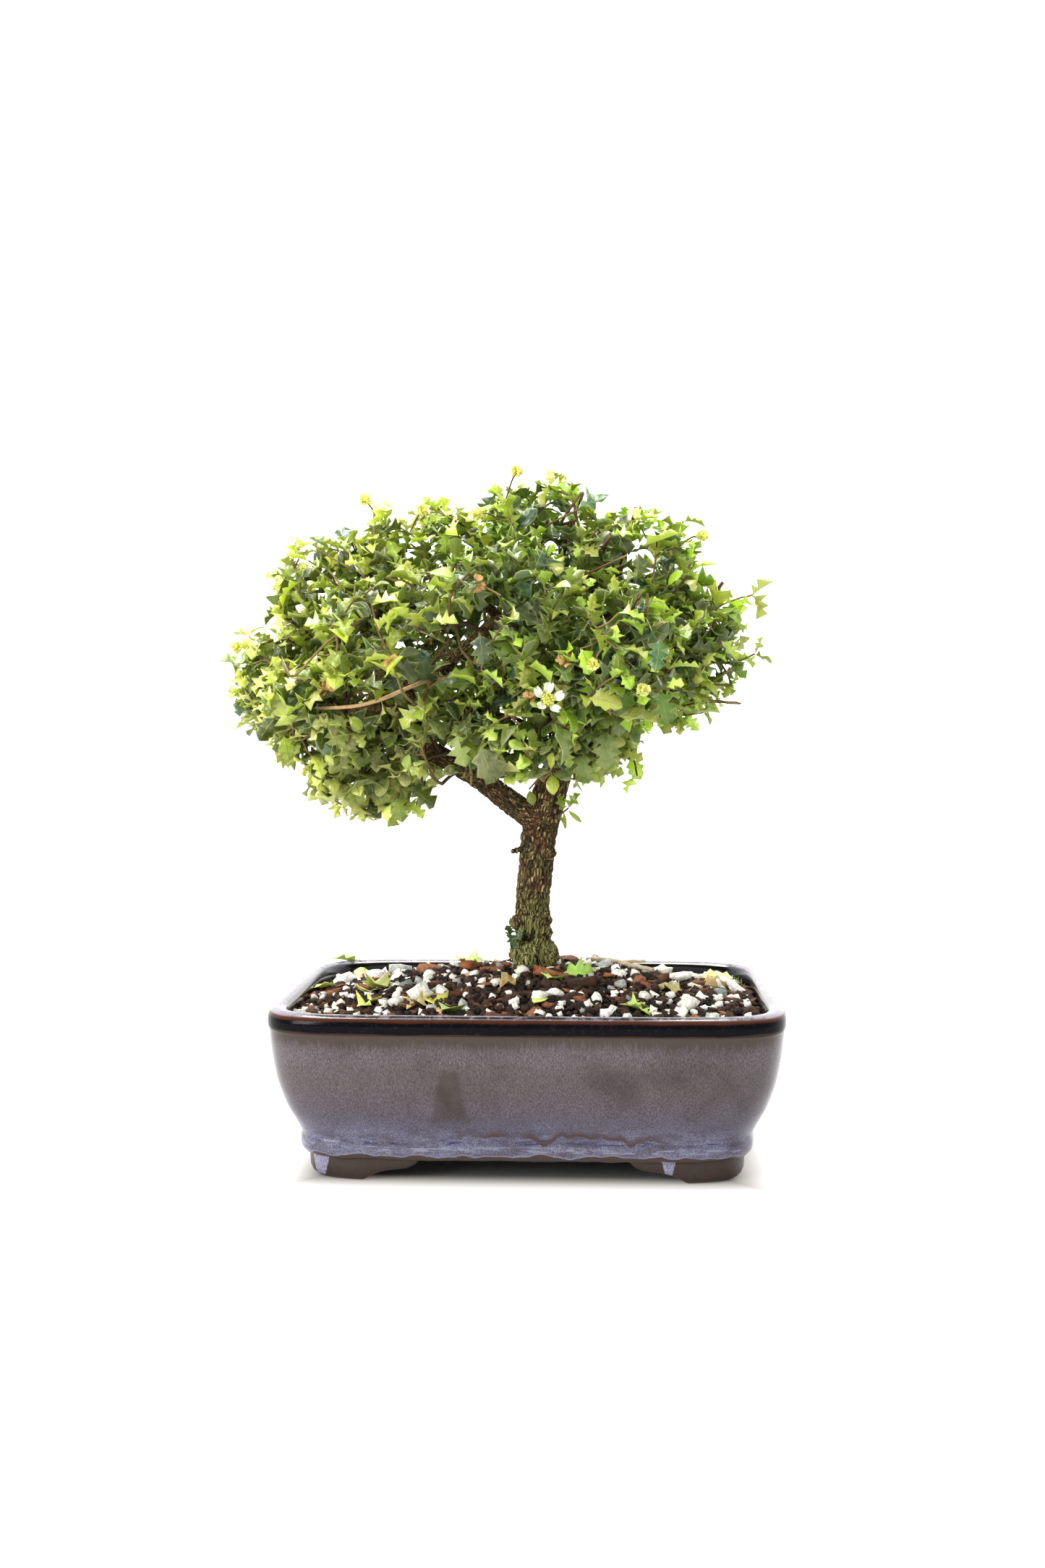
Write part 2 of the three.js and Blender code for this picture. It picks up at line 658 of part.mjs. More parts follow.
function barkChip(random) {
  const size = [between(random, ...CHIP.length), between(random, ...CHIP.width), CHIP.thickness];
  return turned(new THREE.BoxGeometry(...size), random, CHIP.tilt);
}

// What has fallen: leaves and a twig, each let down until it almost touches the soil or the pot
const SHED_LEAVES = {
  back_left: { x: -91, y: 73, turn: 0.4, length: 14 },
  back_middle: { x: -51, y: 60, turn: 2.6, length: 17 },
  left: { x: -70, y: -7, turn: 1.9, length: 13 },
  front_left: { x: -39, y: -34, turn: 5.6, length: 15 },
  front_middle: { x: -30, y: -50, turn: 0.9, length: 13 },
  middle: { x: -31, y: 34, turn: 3.5, length: 17 },
  front_right: { x: 10, y: -16, turn: 1.2, length: 12 },
  right: { x: 44, y: -40, turn: 5.9, length: 13 },
  far_right: { x: 82, y: 36, turn: 2.2, length: 13 },
};
const REST_GAP = 0.12;
const DROP = { from: POT.height + 20, to: SOIL_EDGE_Z - 10, precision: 0.02 };
const TOUCH_VOLUME = 1e-6;

function letDown(geometry, ground) {
  let low = DROP.to;
  let high = DROP.from;
  while (high - low > DROP.precision) {
    const z = (low + high) / 2;
    const touches = solidOf(geometry.clone().translate(0, 0, z)).intersect(ground).volume() > TOUCH_VOLUME;
    if (touches) low = z;
    else high = z;
  }
  return solidOf(geometry.translate(0, 0, high + REST_GAP));
}

function makeShedLeaf({ x, y, turn, length }, ground) {
  const leaf = hollyLeaf(length).translate(-length / 2, 0, 0).rotateZ(turn);
  return letDown(leaf.translate(x, y, 0), ground);
}

const SHED_TWIG = [
  { radii: [1.2, 1.1, 0.9], points: [[24, 38, 0], [38, 26, 0.8], [53, 8, 0]] },
  { radii: [0.9, 0.7], points: [[38, 26, 0.6], [50, 25, 1.4]] },
];

function makeShedTwig(ground) {
  const twig = union(SHED_TWIG.map(({ radii, points }) => limb(vectors(points), radii, 5)));
  return letDown(geometryOf(twig), ground);
}

// Everything together

const pot = makePot();
addPiece("pot", pot, GLAZE);
addPiece("drain_screen_left", makeScreen(-DRAIN.spacing / 2), SCREEN);
addPiece("drain_screen_right", makeScreen(DRAIN.spacing / 2), SCREEN);
addPiece("tree_wood", makeWood(0), BARK);
const woodRoom = makeWood(CLEARANCE);
const soil = makeSoil(woodRoom);
addPiece("soil", soil, SOIL);

const flowers = Object.values(FLOWERS);
const growthRoom = union([woodRoom, ...flowers.map((flower) => makeStalk(flower, CLEARANCE))]);
Object.keys(SPRAYS).forEach((name, i) => {
  const spray = makeSpray(name, i + 1, growthRoom, flowers.map(({ head }) => head));
  addPiece(`spray_${name}`, spray, LEAF);
});
for (const [name, flower] of Object.entries(FLOWERS))
  addPiece(`flower_${name}`, makeFlower(flower), FLOWER);
for (const [name, shoot] of Object.entries(SHOOTS))
  addPiece(`shoot_${name}`, makeShoot(shoot, woodRoom), LEAF);

const ground = soil.add(pot);
for (const [name, leaf] of Object.entries(SHED_LEAVES))
  addPiece(`shed_leaf_${name}`, makeShedLeaf(leaf, ground), SHED_LEAF);
addPiece("shed_twig", makeShedTwig(ground), DRY_TWIG);

// The origin is on the table, under the middle of the whole bonsai's footprint.
const reach = new THREE.Box3().setFromObject(bonsai);
const footprint = reach.getCenter(V());
bonsai.position.set(-footprint.x, -footprint.y, -reach.min.z);

export default bonsai;
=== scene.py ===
"""A dwarf holly bonsai in its glazed pot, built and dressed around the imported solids.

Pieces are modelled in millimetres from the middle of the pot's underside, as the solids are. Bonsai.add then
takes each finished mesh to the frame of the solids, in metres.
"""

import json
import logging
import math
import random
from collections.abc import Callable, Iterable, Sequence
from dataclasses import dataclass, field
from enum import Enum, IntEnum
from functools import cache

import bmesh
import bpy
import numpy as np
from mathutils import Euler, Matrix, Vector, noise
from mathutils.kdtree import KDTree

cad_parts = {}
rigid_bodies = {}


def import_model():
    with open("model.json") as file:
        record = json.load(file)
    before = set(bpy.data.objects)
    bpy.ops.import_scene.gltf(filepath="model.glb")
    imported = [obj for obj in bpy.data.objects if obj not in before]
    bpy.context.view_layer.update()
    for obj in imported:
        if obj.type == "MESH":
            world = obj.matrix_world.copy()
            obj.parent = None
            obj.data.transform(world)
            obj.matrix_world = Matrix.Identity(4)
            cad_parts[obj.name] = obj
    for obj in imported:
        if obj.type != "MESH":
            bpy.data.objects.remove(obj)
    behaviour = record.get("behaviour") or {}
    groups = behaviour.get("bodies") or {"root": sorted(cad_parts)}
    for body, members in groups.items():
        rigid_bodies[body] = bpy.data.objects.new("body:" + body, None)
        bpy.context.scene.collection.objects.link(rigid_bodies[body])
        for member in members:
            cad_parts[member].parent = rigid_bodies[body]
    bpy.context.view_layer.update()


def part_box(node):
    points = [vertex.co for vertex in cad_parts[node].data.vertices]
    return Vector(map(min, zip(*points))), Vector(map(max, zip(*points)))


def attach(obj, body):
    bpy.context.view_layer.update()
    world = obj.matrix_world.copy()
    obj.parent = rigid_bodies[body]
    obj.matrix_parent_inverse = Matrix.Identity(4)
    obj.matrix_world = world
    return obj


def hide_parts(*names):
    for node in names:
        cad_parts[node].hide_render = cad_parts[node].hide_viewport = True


Colour = tuple[float, float, float, float]
Range = tuple[float, float]
Place = tuple[float, float, float]
Line = Sequence[tuple[Vector, float]]

LOG = logging.getLogger("bonsai")
MM = 0.001
FULL_TURN = math.tau
GOLDEN_TURN = math.pi * (3 - math.sqrt(5))
UP = Vector((0, 0, 1))
TRUNK_FOOT = Vector((1, 10, 0))
CAMERA_PLACE = (30.2, -752.7, 188.47)
NOISE_SEED = 18
WHITE = (1.0, 1.0, 1.0, 1.0)


# Numbers and lines


def smooth_share(value: float, low: float, high: float) -> float:
    """Goes smoothly from 0 at low to 1 at high."""
    share = min(1.0, max(0.0, (value - low) / (high - low)))
    return share * share * (3 - 2 * share)


def on_line(points: Sequence[Vector], place: float) -> Vector:
    """Finds a point on the smooth line through some points.

    Args:
        points: What the line goes through.
        place: How far along it is, counted in points.

    Returns:
        The point of a Catmull-Rom line there.
    """
    first = min(int(place), len(points) - 2)
    share = place - first
    b, c = points[first], points[first + 1]
    a = points[first - 1] if first else 2 * b - c
    d = points[first + 2] if first + 2 < len(points) else 2 * c - b
    bend = (2 * a - 5 * b + 4 * c - d) * share**2 + (3 * b - a - 3 * c + d) * share**3
    return b + 0.5 * ((c - a) * share + bend)


def smooth_line(points: Sequence[Vector], steps: int) -> Line:
    """Draws a smooth line in steps between each two points. Each place has its number along the line."""
    places = [number / steps for number in range(steps * (len(points) - 1) + 1)]
    return [(on_line(points, place), place) for place in places]


def direction(rng: random.Random) -> Vector:
    """Draws a direction, evenly over the sphere."""
    return Vector((rng.gauss(0, 1), rng.gauss(0, 1), rng.gauss(0, 1))).normalized()


def axes(base: Vector, along: Vector, facing: Vector) -> Matrix:
    """Makes the matrix that puts a blade in place, without scale.

    Args:
        base: Where its foot goes.
        along: Where its own X axis points.
        facing: The side that its own Z axis looks to, as nearly as it can.

    Returns:
        The matrix.
    """
    x = along.normalized()
    y = facing.cross(x).normalized()
    return Matrix.Translation(base) @ Matrix((x, y, x.cross(y))).transposed().to_4x4()


def search_tree(places: Sequence[Vector]) -> KDTree:
    """Makes a tree that finds the nearest of some places.

    Args:
        places: The places, which keep their numbers.

    Returns:
        The tree.
    """
    tree = KDTree(len(places))
    for number, place in enumerate(places):
        tree.insert(place, number)
    tree.balance()
    return tree


# Meshes


@dataclass
class Shape:
    """A small closed template: its points, its faces, and a place on its surface for each point."""

    points: np.ndarray
    faces: list[list[int]]
    map: np.ndarray

    @classmethod
    def take(cls, bm: bmesh.types.BMesh, surface: Callable[[Vector], Range] = lambda p: (p.x, p.y)) -> "Shape":
        """Takes the shape out of a bmesh, which is freed.

        Args:
            bm: The finished shape.
            surface: Gives a point's place on the map.

        Returns:
            The template.
        """
        bmesh.ops.recalc_face_normals(bm, faces=bm.faces)
        bm.verts.index_update()
        points = np.array([vertex.co for vertex in bm.verts])
        places = np.array([surface(vertex.co) for vertex in bm.verts])
        faces = [[vertex.index for vertex in face.verts] for face in bm.faces]
        bm.free()
        return cls(points, faces, places)


class Stamps:
    """Copies of small closed shapes, gathered as one mesh with numbers for the finish to read."""

    def __init__(self, *natures: str) -> None:
        """Starts without copies. The natures name the numbers that each vertex carries.

        Args:
            natures: The numbers that each vertex carries.
        """
        self.natures = natures
        self.points: list[np.ndarray] = []
        self.faces: list[list[int]] = []
        self.values: list[np.ndarray] = []
        self.maps: list[np.ndarray] = []
        self.finishes: list[int] = []
        self.count = 0

    def add(self, shape: Shape, matrix: Matrix, values: Sequence[float], finish: int = 0,
            points: np.ndarray | None = None) -> None:
        """Adds one copy.

        Args:
            shape: The template.
            matrix: Takes it to its place.
            values: One number for each nature.
            finish: Which of the piece's finishes it takes.
            points: Its points before the move, where they aren't the template's.
        """
        moved = np.array(matrix)
        points = shape.points if points is None else points
        self.faces += [[corner + self.count for corner in face] for face in shape.faces]
        self.finishes += [finish] * len(shape.faces)
        self.points.append(points @ moved[:3, :3].T + moved[:3, 3])
        self.values.append(np.tile(np.array(values, float), (len(points), 1)))
        self.maps.append(shape.map)
        self.count += len(points)

    def mesh(self) -> bpy.types.Mesh:
        """Makes the mesh of all the copies, with its natures as attributes and its map as a UV map.

        Returns:
            The mesh, in the order of the copies.
        """
        mesh = bpy.data.meshes.new("stamps")
        mesh.from_pydata(np.concatenate(self.points).tolist(), [], self.faces)
        for nature, values in zip(self.natures, np.concatenate(self.values).T):
            add_nature(mesh, nature, values)
        corners = np.empty(len(mesh.loops), np.int32)
        mesh.loops.foreach_get("vertex_index", corners)
        layer = mesh.uv_layers.new(name="blade")
        layer.data.foreach_set("uv", np.concatenate(self.maps)[corners].astype(np.float32).ravel())
        mesh.polygons.foreach_set("material_index", np.array(self.finishes, np.int32))
        mesh.shade_smooth()
        return mesh


def rod(sides: int, foot: float, tip: float) -> Shape:
    """Models a thin upright rod, one long.

    Args:
        sides: How many sides it has.
        foot: Its radius at the foot.
        tip: Its radius at the tip.

    Returns:
        The template.
    """
    bm = bmesh.new()
    bmesh.ops.create_cone(bm, cap_ends=True, segments=sides, radius1=foot, radius2=tip, depth=1,
                          matrix=Matrix.Translation((0, 0, 0.5)))
    return Shape.take(bm, lambda p: (p.z, 0))


def slab(bm: bmesh.types.BMesh, thickness: float) -> None:
    """Gives an open sheet a second face at some depth under it, and closes its edge."""
    grown = bmesh.ops.extrude_face_region(bm, geom=bm.faces[:])["geom"]
    bmesh.ops.translate(bm, verts=parts_of(grown, bmesh.types.BMVert), vec=(0, 0, -thickness))


def parts_of(grown: Iterable[object], kind: type) -> list:
    """The vertices or the edges among what an operator made."""
    return [part for part in grown if isinstance(part, kind)]


def loft(rows: Sequence[Sequence[Vector]], closed: bool = False) -> bmesh.types.BMesh:
    """Draws a surface out through rings of points.

    Args:
        rows: Rings with the same number of points.
        closed: Whether the last ring meets the first. Otherwise both ends are capped.

    Returns:
        A closed bmesh.
    """
    bm = bmesh.new()
    place = bm.verts.layers.int.new("place")
    for index, vertex in enumerate(bmesh.ops.create_circle(bm, segments=len(rows[0]), radius=1)["verts"]):
        vertex[place] = index
        vertex.co = rows[0][index]
    ends = [bm.edges[:]]
    for row in rows[1:]:
        grown = bmesh.ops.extrude_edge_only(bm, edges=ends[-1])["geom"]
        ends = [ends[0], parts_of(grown, bmesh.types.BMEdge)]
        for vertex in parts_of(grown, bmesh.types.BMVert):
            vertex.co = row[vertex[place]]
    if closed:
        bmesh.ops.remove_doubles(bm, verts=bm.verts, dist=1e-4)
    else:
        for edges in ends:
            bmesh.ops.contextual_create(bm, geom=edges)
    bmesh.ops.recalc_face_normals(bm, faces=bm.faces)
    return bm


def linked(name: str, data: bpy.types.ID) -> bpy.types.Object:
    """Puts a mesh, a lamp or a camera in the scene as an object.

    Args:
        name: The object's name.
        data: The mesh, lamp or camera.

    Returns:
        The object.
    """
    thing = bpy.data.objects.new(name, data)
    bpy.context.scene.collection.objects.link(thing)
    return thing


def tubes(lines: Iterable[Line], fineness: int) -> bpy.types.Mesh:
    """Makes round tubes with closed ends.

    Args:
        lines: For each tube, its middle points, each with the tube's radius there.
        fineness: The curve's bevel resolution.

    Returns:
        One mesh of them all.
    """
    curve = bpy.data.curves.new("tubes", "CURVE")
    curve.dimensions = "3D"
    curve.bevel_depth = 1
    curve.bevel_resolution = fineness
    curve.use_fill_caps = True
    for line in lines:
        spline = curve.splines.new("POLY")
        spline.points.add(len(line) - 1)
        for point, (place, radius) in zip(spline.points, line):
            point.co = (*place, 1)
            point.radius = radius
    carrier = bpy.data.objects.new("tubes", curve)
    mesh = bpy.data.meshes.new_from_object(carrier)
    bpy.data.objects.remove(carrier)
    bpy.data.curves.remove(curve)
    return mesh


def stem(line: Line, finish: int, thick: float) -> bpy.types.Mesh:
    """Makes one thin tube for a piece of several finishes.

    Args:
        line: Its middle points with their radii.
        finish: Which of the piece's finishes it takes.
        thick: How thick the finish takes it to be.

    Returns:
        The mesh.
    """
    mesh = tubes([line], 1)
    mesh.polygons.foreach_set("material_index", [finish] * len(mesh.polygons))
    add_nature(mesh, "thick", [thick] * len(mesh.vertices))
    return mesh


def modified(mesh: bpy.types.Mesh, kind: str, **settings: object) -> bpy.types.Mesh:
    """Runs one modifier on a mesh, which is removed.

    Args:
        mesh: What it is run on.
        kind: The modifier.
        settings: Its settings.

    Returns:
        The result as a new mesh.
    """
    carrier = linked("carrier", mesh)
    modifier = carrier.modifiers.new(kind, kind)
    for name, value in settings.items():
        setattr(modifier, name, value)
    result = bpy.data.meshes.new_from_object(carrier.evaluated_get(bpy.context.evaluated_depsgraph_get()))
    bpy.data.objects.remove(carrier)
    bpy.data.meshes.remove(mesh)
    return result


def mesh_of(bm: bmesh.types.BMesh, sharp_degrees: float = 40) -> bpy.types.Mesh:
    """Turns a bmesh into a smooth mesh with its hard edges kept, and frees it.

    Args:
        bm: The bmesh.
        sharp_degrees: The angle from which an edge stays hard.

    Returns:
        The mesh.
    """
    mesh = bpy.data.meshes.new("mesh")
    bm.to_mesh(mesh)
    bm.free()
    mesh.shade_smooth()
    mesh.set_sharp_from_angle(angle=math.radians(sharp_degrees))
    return mesh


def bmesh_of(*meshes: bpy.types.Mesh) -> bmesh.types.BMesh:
    """Gathers meshes in one bmesh and removes them.

    Args:
        meshes: The meshes.

    Returns:
        The bmesh.
    """
    bm = bmesh.new()
    for mesh in meshes:
        bm.from_mesh(mesh)
        bpy.data.meshes.remove(mesh)
    return bm


def add_nature(mesh: bpy.types.Mesh, name: str, values: Iterable[float]) -> None:
    """Stores one number for each vertex, for the finish to read."""
    attribute = mesh.attributes.new(name, "FLOAT", "POINT")
    attribute.data.foreach_set("value", np.fromiter(values, np.float32, len(mesh.vertices)))


# Finishes


def paint(*levels: int) -> Colour:
    """A colour as a screen shows it, in levels of red, green and blue up to 255, as linear light."""
    return (*[(v / 255 / 12.92) if v < 11 else ((v / 255 + 0.055) / 1.055) ** 2.4 for v in levels], 1.0)


class Field:
    """A number or a colour that differs over a surface. Sums on it are written as usual and become nodes."""

    def __init__(self, shade: "Shade", socket: bpy.types.NodeSocket) -> None:
        """Keeps a node's output."""
        self.shade = shade
        self.socket = socket

    def math(self, operation: str, *others: object) -> "Field":
        """One sum on this and others."""
        return self.shade.node("ShaderNodeMath", dict(enumerate((self, *others))), operation=operation)

    def __add__(self, other: object) -> "Field":
        """This and another."""
        return self.math("ADD", other)

    def __sub__(self, other: object) -> "Field":
        """This less another."""
        return self.math("SUBTRACT", other)

    def __mul__(self, other: object) -> "Field":
        """This times another."""
        return self.math("MULTIPLY", other)

    def __abs__(self) -> "Field":
        """This without its sign."""
        return self.math("ABSOLUTE")

    def clamp(self) -> "Field":
        """This, kept between 0 and 1."""
        return self.shade.node("ShaderNodeClamp", {"Value": self})

    def step(self, low: object, high: object) -> "Field":
        """Goes smoothly from 0 at low to 1 at high."""
        inputs = {"Value": self, "From Min": low, "From Max": high}
        return self.shade.node("ShaderNodeMapRange", inputs, interpolation_type="SMOOTHSTEP")

    def band(self, start: float, full: float, ebb: float, end: float) -> "Field":
        """Rises from 0 at its start to 1 where it is full, and falls from the ebb to 0 at its end."""
        return self.step(start, full) * self.step(end, ebb)

    def mix(self, one: object, other: object) -> "Field":
        """A mix of two colours, with this share of the other."""
        return self.shade.node("ShaderNodeMix", {"Factor": self, 6: one, 7: other}, 2, data_type="RGBA")

    def tinted(self, strength: "Field") -> "Field":
        """This colour, made lighter or darker by a number."""
        return self.shade.node("ShaderNodeVectorMath", {0: self, "Scale": strength}, operation="SCALE")

    def parts(self) -> list["Field"]:
        """This point's x, y and z."""
        split = self.shade.node("ShaderNodeSeparateXYZ", {0: self}).socket.node
        return [Field(self.shade, socket) for socket in split.outputs]

    def noise(self, scale: float, detail: float = 3, rough: float = 0.5, stretch: Place | None = None) -> "Field":
        """Cloudy noise from 0 to 1 at this point.

        Args:
            scale: Its patches to the metre.
            detail: Its octaves.
            rough: How strong the finer ones are.
            stretch: More scale for each axis.

        Returns:
            The noise.
        """
        place = self.shade.node("ShaderNodeMapping", {"Vector": self, "Scale": stretch}) if stretch else self
        inputs = {"Vector": place, "Scale": scale, "Detail": detail, "Roughness": rough}
        return self.shade.node("ShaderNodeTexNoise", inputs)

    def ramp(self, stops: Sequence[tuple[float, Colour]]) -> "Field":
        """A colour that follows this number.

        Args:
            stops: Numbers and their colours.

        Returns:
            The colour.
        """
        ramp = self.shade.node("ShaderNodeValToRGB", {"Fac": self})
        elements = ramp.socket.node.color_ramp.elements
        for _ in stops[2:]:
            elements.new(1)
        for element, (position, colour) in zip(elements, stops):
            element.position = position
            element.color = colour
        return ramp


class Shade:
    """A material or a world that is being made of nodes."""

    def __init__(self, name: str, kind: str = "materials") -> None:
        """Starts an empty one.

        Args:
            name: The name of the tree's owner.
            kind: The list of Blender's data that holds it.
        """
        self.owner = getattr(bpy.data, kind).new(name)
        self.owner.use_nodes = True
        self.tree = self.owner.node_tree
        self.tree.nodes.clear()

    def node(self, kind: str, inputs: dict[object, object], output: int | str = 0, **settings: object) -> Field:
        """Adds a node.

        Args:
            kind: Its type.
            inputs: A number, a colour or a field for each input by name or number.
            output: Which output is wanted.
            settings: Its other settings.

        Returns:
            The output.
        """
        node = self.tree.nodes.new(kind)
        for name, value in settings.items():
            setattr(node, name, value)
        for name, value in inputs.items():
            if isinstance(value, Field):
                self.tree.links.new(value.socket, node.inputs[name])
            else:
                node.inputs[name].default_value = value
        return Field(self, node.outputs[output])

    def place(self, centre: Vector = Vector()) -> Field:
        """The point of the surface, in metres from a centre."""
        point = self.node("ShaderNodeTexCoord", {}, "Object")
        return self.node("ShaderNodeMapping", {"Vector": point, "Location": -centre})

    def nature(self, name: str, output: str = "Fac") -> Field:
        """A number that the mesh carries, or a point where its Vector output is asked for."""
        return self.node("ShaderNodeAttribute", {}, output, attribute_name=name)

    def surface(self, colour: Field, roughness: object, relief: Field, depth: float, strength: float,
                **more: float) -> Field:
        """Makes the shader of a surface.

        Args:
            colour: Its colour.
            roughness: How dull it is.
            relief: The height of its fine relief.
            depth: The depth of the relief in metres.
            strength: How strongly the relief shows.
            more: Other inputs of the shader, with an underscore for a space.

        Returns:
            The shader.
        """
        normal = self.node("ShaderNodeBump", {"Height": relief, "Distance": depth, "Strength": strength})
        inputs = {"Base Color": colour, "Roughness": roughness, "Normal": normal}
        inputs |= {name.replace("_", " "): value for name, value in more.items()}
        return self.node("ShaderNodeBsdfPrincipled", inputs)

    def backlit(self, front: Field, colour: Field, share: float) -> Field:
        """Mixes a surface with a share of coloured light that shines through it."""
        through = self.node("ShaderNodeBsdfTranslucent", {"Color": colour})
        return self.node("ShaderNodeMixShader", {0: share, 1: front, 2: through})

    def done(self, shader: Field) -> bpy.types.ID:
        """Ends it with a shader.

        Args:
            shader: What its surface is.

        Returns:
            The material or the world.
        """
        end = self.tree.nodes.new(f"ShaderNodeOutput{type(self.owner).__name__}")
        self.tree.links.new(shader.socket, end.inputs["Surface"])
        return self.owner


class GlazeFinish:
    """The pot's glaze: lavender lip, dark band, streaked taupe wall, blue ledge and brown feet, in metres."""

    TAUPE = paint(52, 39, 33)
    TAUPE_DARK = paint(43, 31, 25)
    OLIVE = paint(52, 39, 30)
    LAVENDER = paint(88, 80, 86)
    BLUE = paint(76, 73, 92)
    PALE_BLUE = paint(120, 120, 140)
    COBALT = paint(28, 32, 80)
    NAVY = paint(6, 5, 8)
    NAVY_FLECK = paint(22, 18, 28)
    RUST = paint(62, 30, 16)
    LIP = paint(104, 97, 108)
    LIP_DARK = paint(44, 35, 42)
    DRIP = paint(134, 131, 154)
    TIDE = paint(56, 38, 30)
    CLAY = paint(54, 35, 24)
    FOOT = paint(28, 20, 15)
    BAND = (0.0613, 0.0661)
    LIP_Z = 0.0673
    RUN_Z = 0.0112
    FOOT_Z = 0.0098
    # Runs of glaze on the front feet: middle, half width and lower end
    DRIPS = ((-0.0818, 0.0043, 0.0008), (0.0568, 0.0032, 0.0018))
    # The x and z of the middle of a brown patch on the front, where the glaze is thin
    PATCH = (-0.0290, 0.0360)
    # The inner face of the wall: how far in it is, and its squareness
    INSIDE = (0.0066, 7.4)

    def __init__(self, name: str, centre: Vector, half: Range) -> None:
        """Sets out the places and the noises that its layers share.

        Args:
            name: The material's name.
            centre: The middle of the pot's underside.
            half: The pot's half length and half depth.
        """
        self.shade = Shade(name)
        self.place = self.shade.place(centre)
        self.x, self.y, self.z = self.place.parts()
        self.half = half
        self.wavy = self.place.noise(70, 2, stretch=(1, 1, 0)) * 0.006 - 0.003
        self.fine = self.place.noise(2400, 2, 0.6, (1, 1, 0.6))
        self.front = self.y.step(0, -0.02)

    def wall(self) -> Field:
        """Colours the wall: taupe with fine upright streaks of lavender, bluer towards the ledge.

        Returns:
            The colour.
        """
        patches = self.place.noise(30, 3, 0.55)
        streaks = self.place.noise(3000, 3, 0.6, (1, 1, 0.3))
        runs = self.place.noise(900, 3, 0.65, (1, 1, 0.12)) * 0.011 + self.z
        low, top = self.z.step(0.042, 0.016), runs.step(0.0598, 0.0655)
        amount = patches.step(0.3, 0.6) * 0.5 + 0.2 + low * 0.55 + self.z.band(0.044, 0.052, 0.053, 0.058) * 0.25
        amount = (amount - self.thin_patch(patches) * 0.45 - top * 0.75).clamp()
        lit = (self.fine * 0.4 + streaks).step(0.58, 0.82) * amount
        ground = top.mix(patches.step(0.6, 0.38).mix(self.TAUPE, self.TAUPE_DARK), self.OLIVE)
        return (amount * 0.2 + lit).clamp().mix(ground, low.mix(self.LAVENDER, self.BLUE))

    def thin_patch(self, patches: Field) -> Field:
        """The share of the brown patch on the front, which is narrow at its top.

        Args:
            patches: A slow pattern that frays its edge.

        Returns:
            The share, from 0 to 1.
        """
        up = self.z - self.PATCH[1]
        away = abs(self.x - self.PATCH[0]) + patches * 0.004 + up * 0.2
        return away.step(0.009, 0.006) * up.band(-0.017, -0.008, 0.009, 0.013) * self.front

    def ledge(self, wall: Field) -> Field:
        """Lays the thick blue glaze on the ledge, down to its scalloped edge and the clay under it.

        Pale glints on its roll and a pale line along its lower edge are painted highlights.

        Args:
            wall: The colour of the wall.

        Returns:
            The colour of both.
        """
        thick = (self.wavy * 1.2 + self.z).step(0.028, 0.0175)
        spots = self.place.noise(90, 4, 0.62, (1, 1, 3.2))
        glints = self.place.noise(150, 3, 0.6, (1, 1, 7))
        pool = spots.step(0.66, 0.4).mix(wall, self.fine.step(0.42, 0.68).mix(self.BLUE, self.PALE_BLUE))
        groove = self.z.band(0.0155, 0.0166, 0.0178, 0.0192) * glints.step(0.54, 0.64)
        # Painted highlight: pale glints on the roll of the ledge
        roll_highlight = self.z.band(0.0124, 0.0136, 0.0148, 0.0158) * glints.step(0.5, 0.62)
        pool = roll_highlight.mix(groove.mix(pool, self.COBALT), self.PALE_BLUE)
        tide = (self.place.noise(110, 1, stretch=(1, 1, 0)) * 0.012 + self.z).band(0.0236, 0.0242, 0.0246, 0.0276)
        tide = tide * self.x.band(-0.03, -0.01, 0.04, 0.07) * self.place.noise(70, 1).step(0.3, 0.46) * self.front
        colour = (tide * 0.9).mix((thick * 0.85).mix(wall, pool), self.TIDE)
        edge = self.wavy * 1.1 + self.z
        # Painted highlight: a pale line along the lower edge of the glaze
        bead_highlight = edge.band(self.RUN_Z, self.RUN_Z + 0.0002, self.RUN_Z, self.RUN_Z + 0.001)
        bare = edge.step(self.RUN_Z + 0.0002, self.RUN_Z - 0.0002)
        return bare.mix((bead_highlight * 0.7).mix(colour, self.PALE_BLUE), self.CLAY)

    def rim(self, colour: Field) -> tuple[Field, Field]:
        """Lays the dark band, the rust edge and the pale lip over a colour.

        Args:
            colour: What is under them.

        Returns:
            The colour of all, and the band's share.
        """
        height = self.wavy * 0.2 + self.z
        corner = (abs(self.x) * (1 / self.half[0])).math("MINIMUM", abs(self.y) * (1 / self.half[1]))
        foot = corner.step(0.72, 1) * 0.0005 + self.BAND[0]
        banded = height.step(foot - 0.0003, foot + 0.0003)
        colour = banded.mix(colour, self.place.noise(800, 2).step(0.55, 0.75).mix(self.NAVY, self.NAVY_FLECK))
        colour = height.step(self.BAND[1] - 0.0006, self.BAND[1] + 0.0004).mix(colour, self.RUST)
        pale = abs(self.x).step(self.half[0] - 0.03, self.half[0] - 0.01) * 0.16 + self.place.noise(300, 4, 0.7)
        lip = pale.step(0.48, 0.64).mix(self.LIP_DARK, self.LIP)
        return height.step(self.LIP_Z - 0.0003, self.LIP_Z + 0.0003).mix(colour, lip), banded

    def inside(self) -> Field:
        """The share of the inner face of the wall, which is as dark as the band.

        Returns:
            The share, from 0 to 1.
        """
        inset, squareness = self.INSIDE
        far = [(abs(place) * (1 / (half - inset))).math("POWER", squareness)
               for place, half in zip((self.x, self.y), self.half)]
        return (far[0] + far[1]).step(1.02, 0.98) * self.z.step(0.05, 0.056)

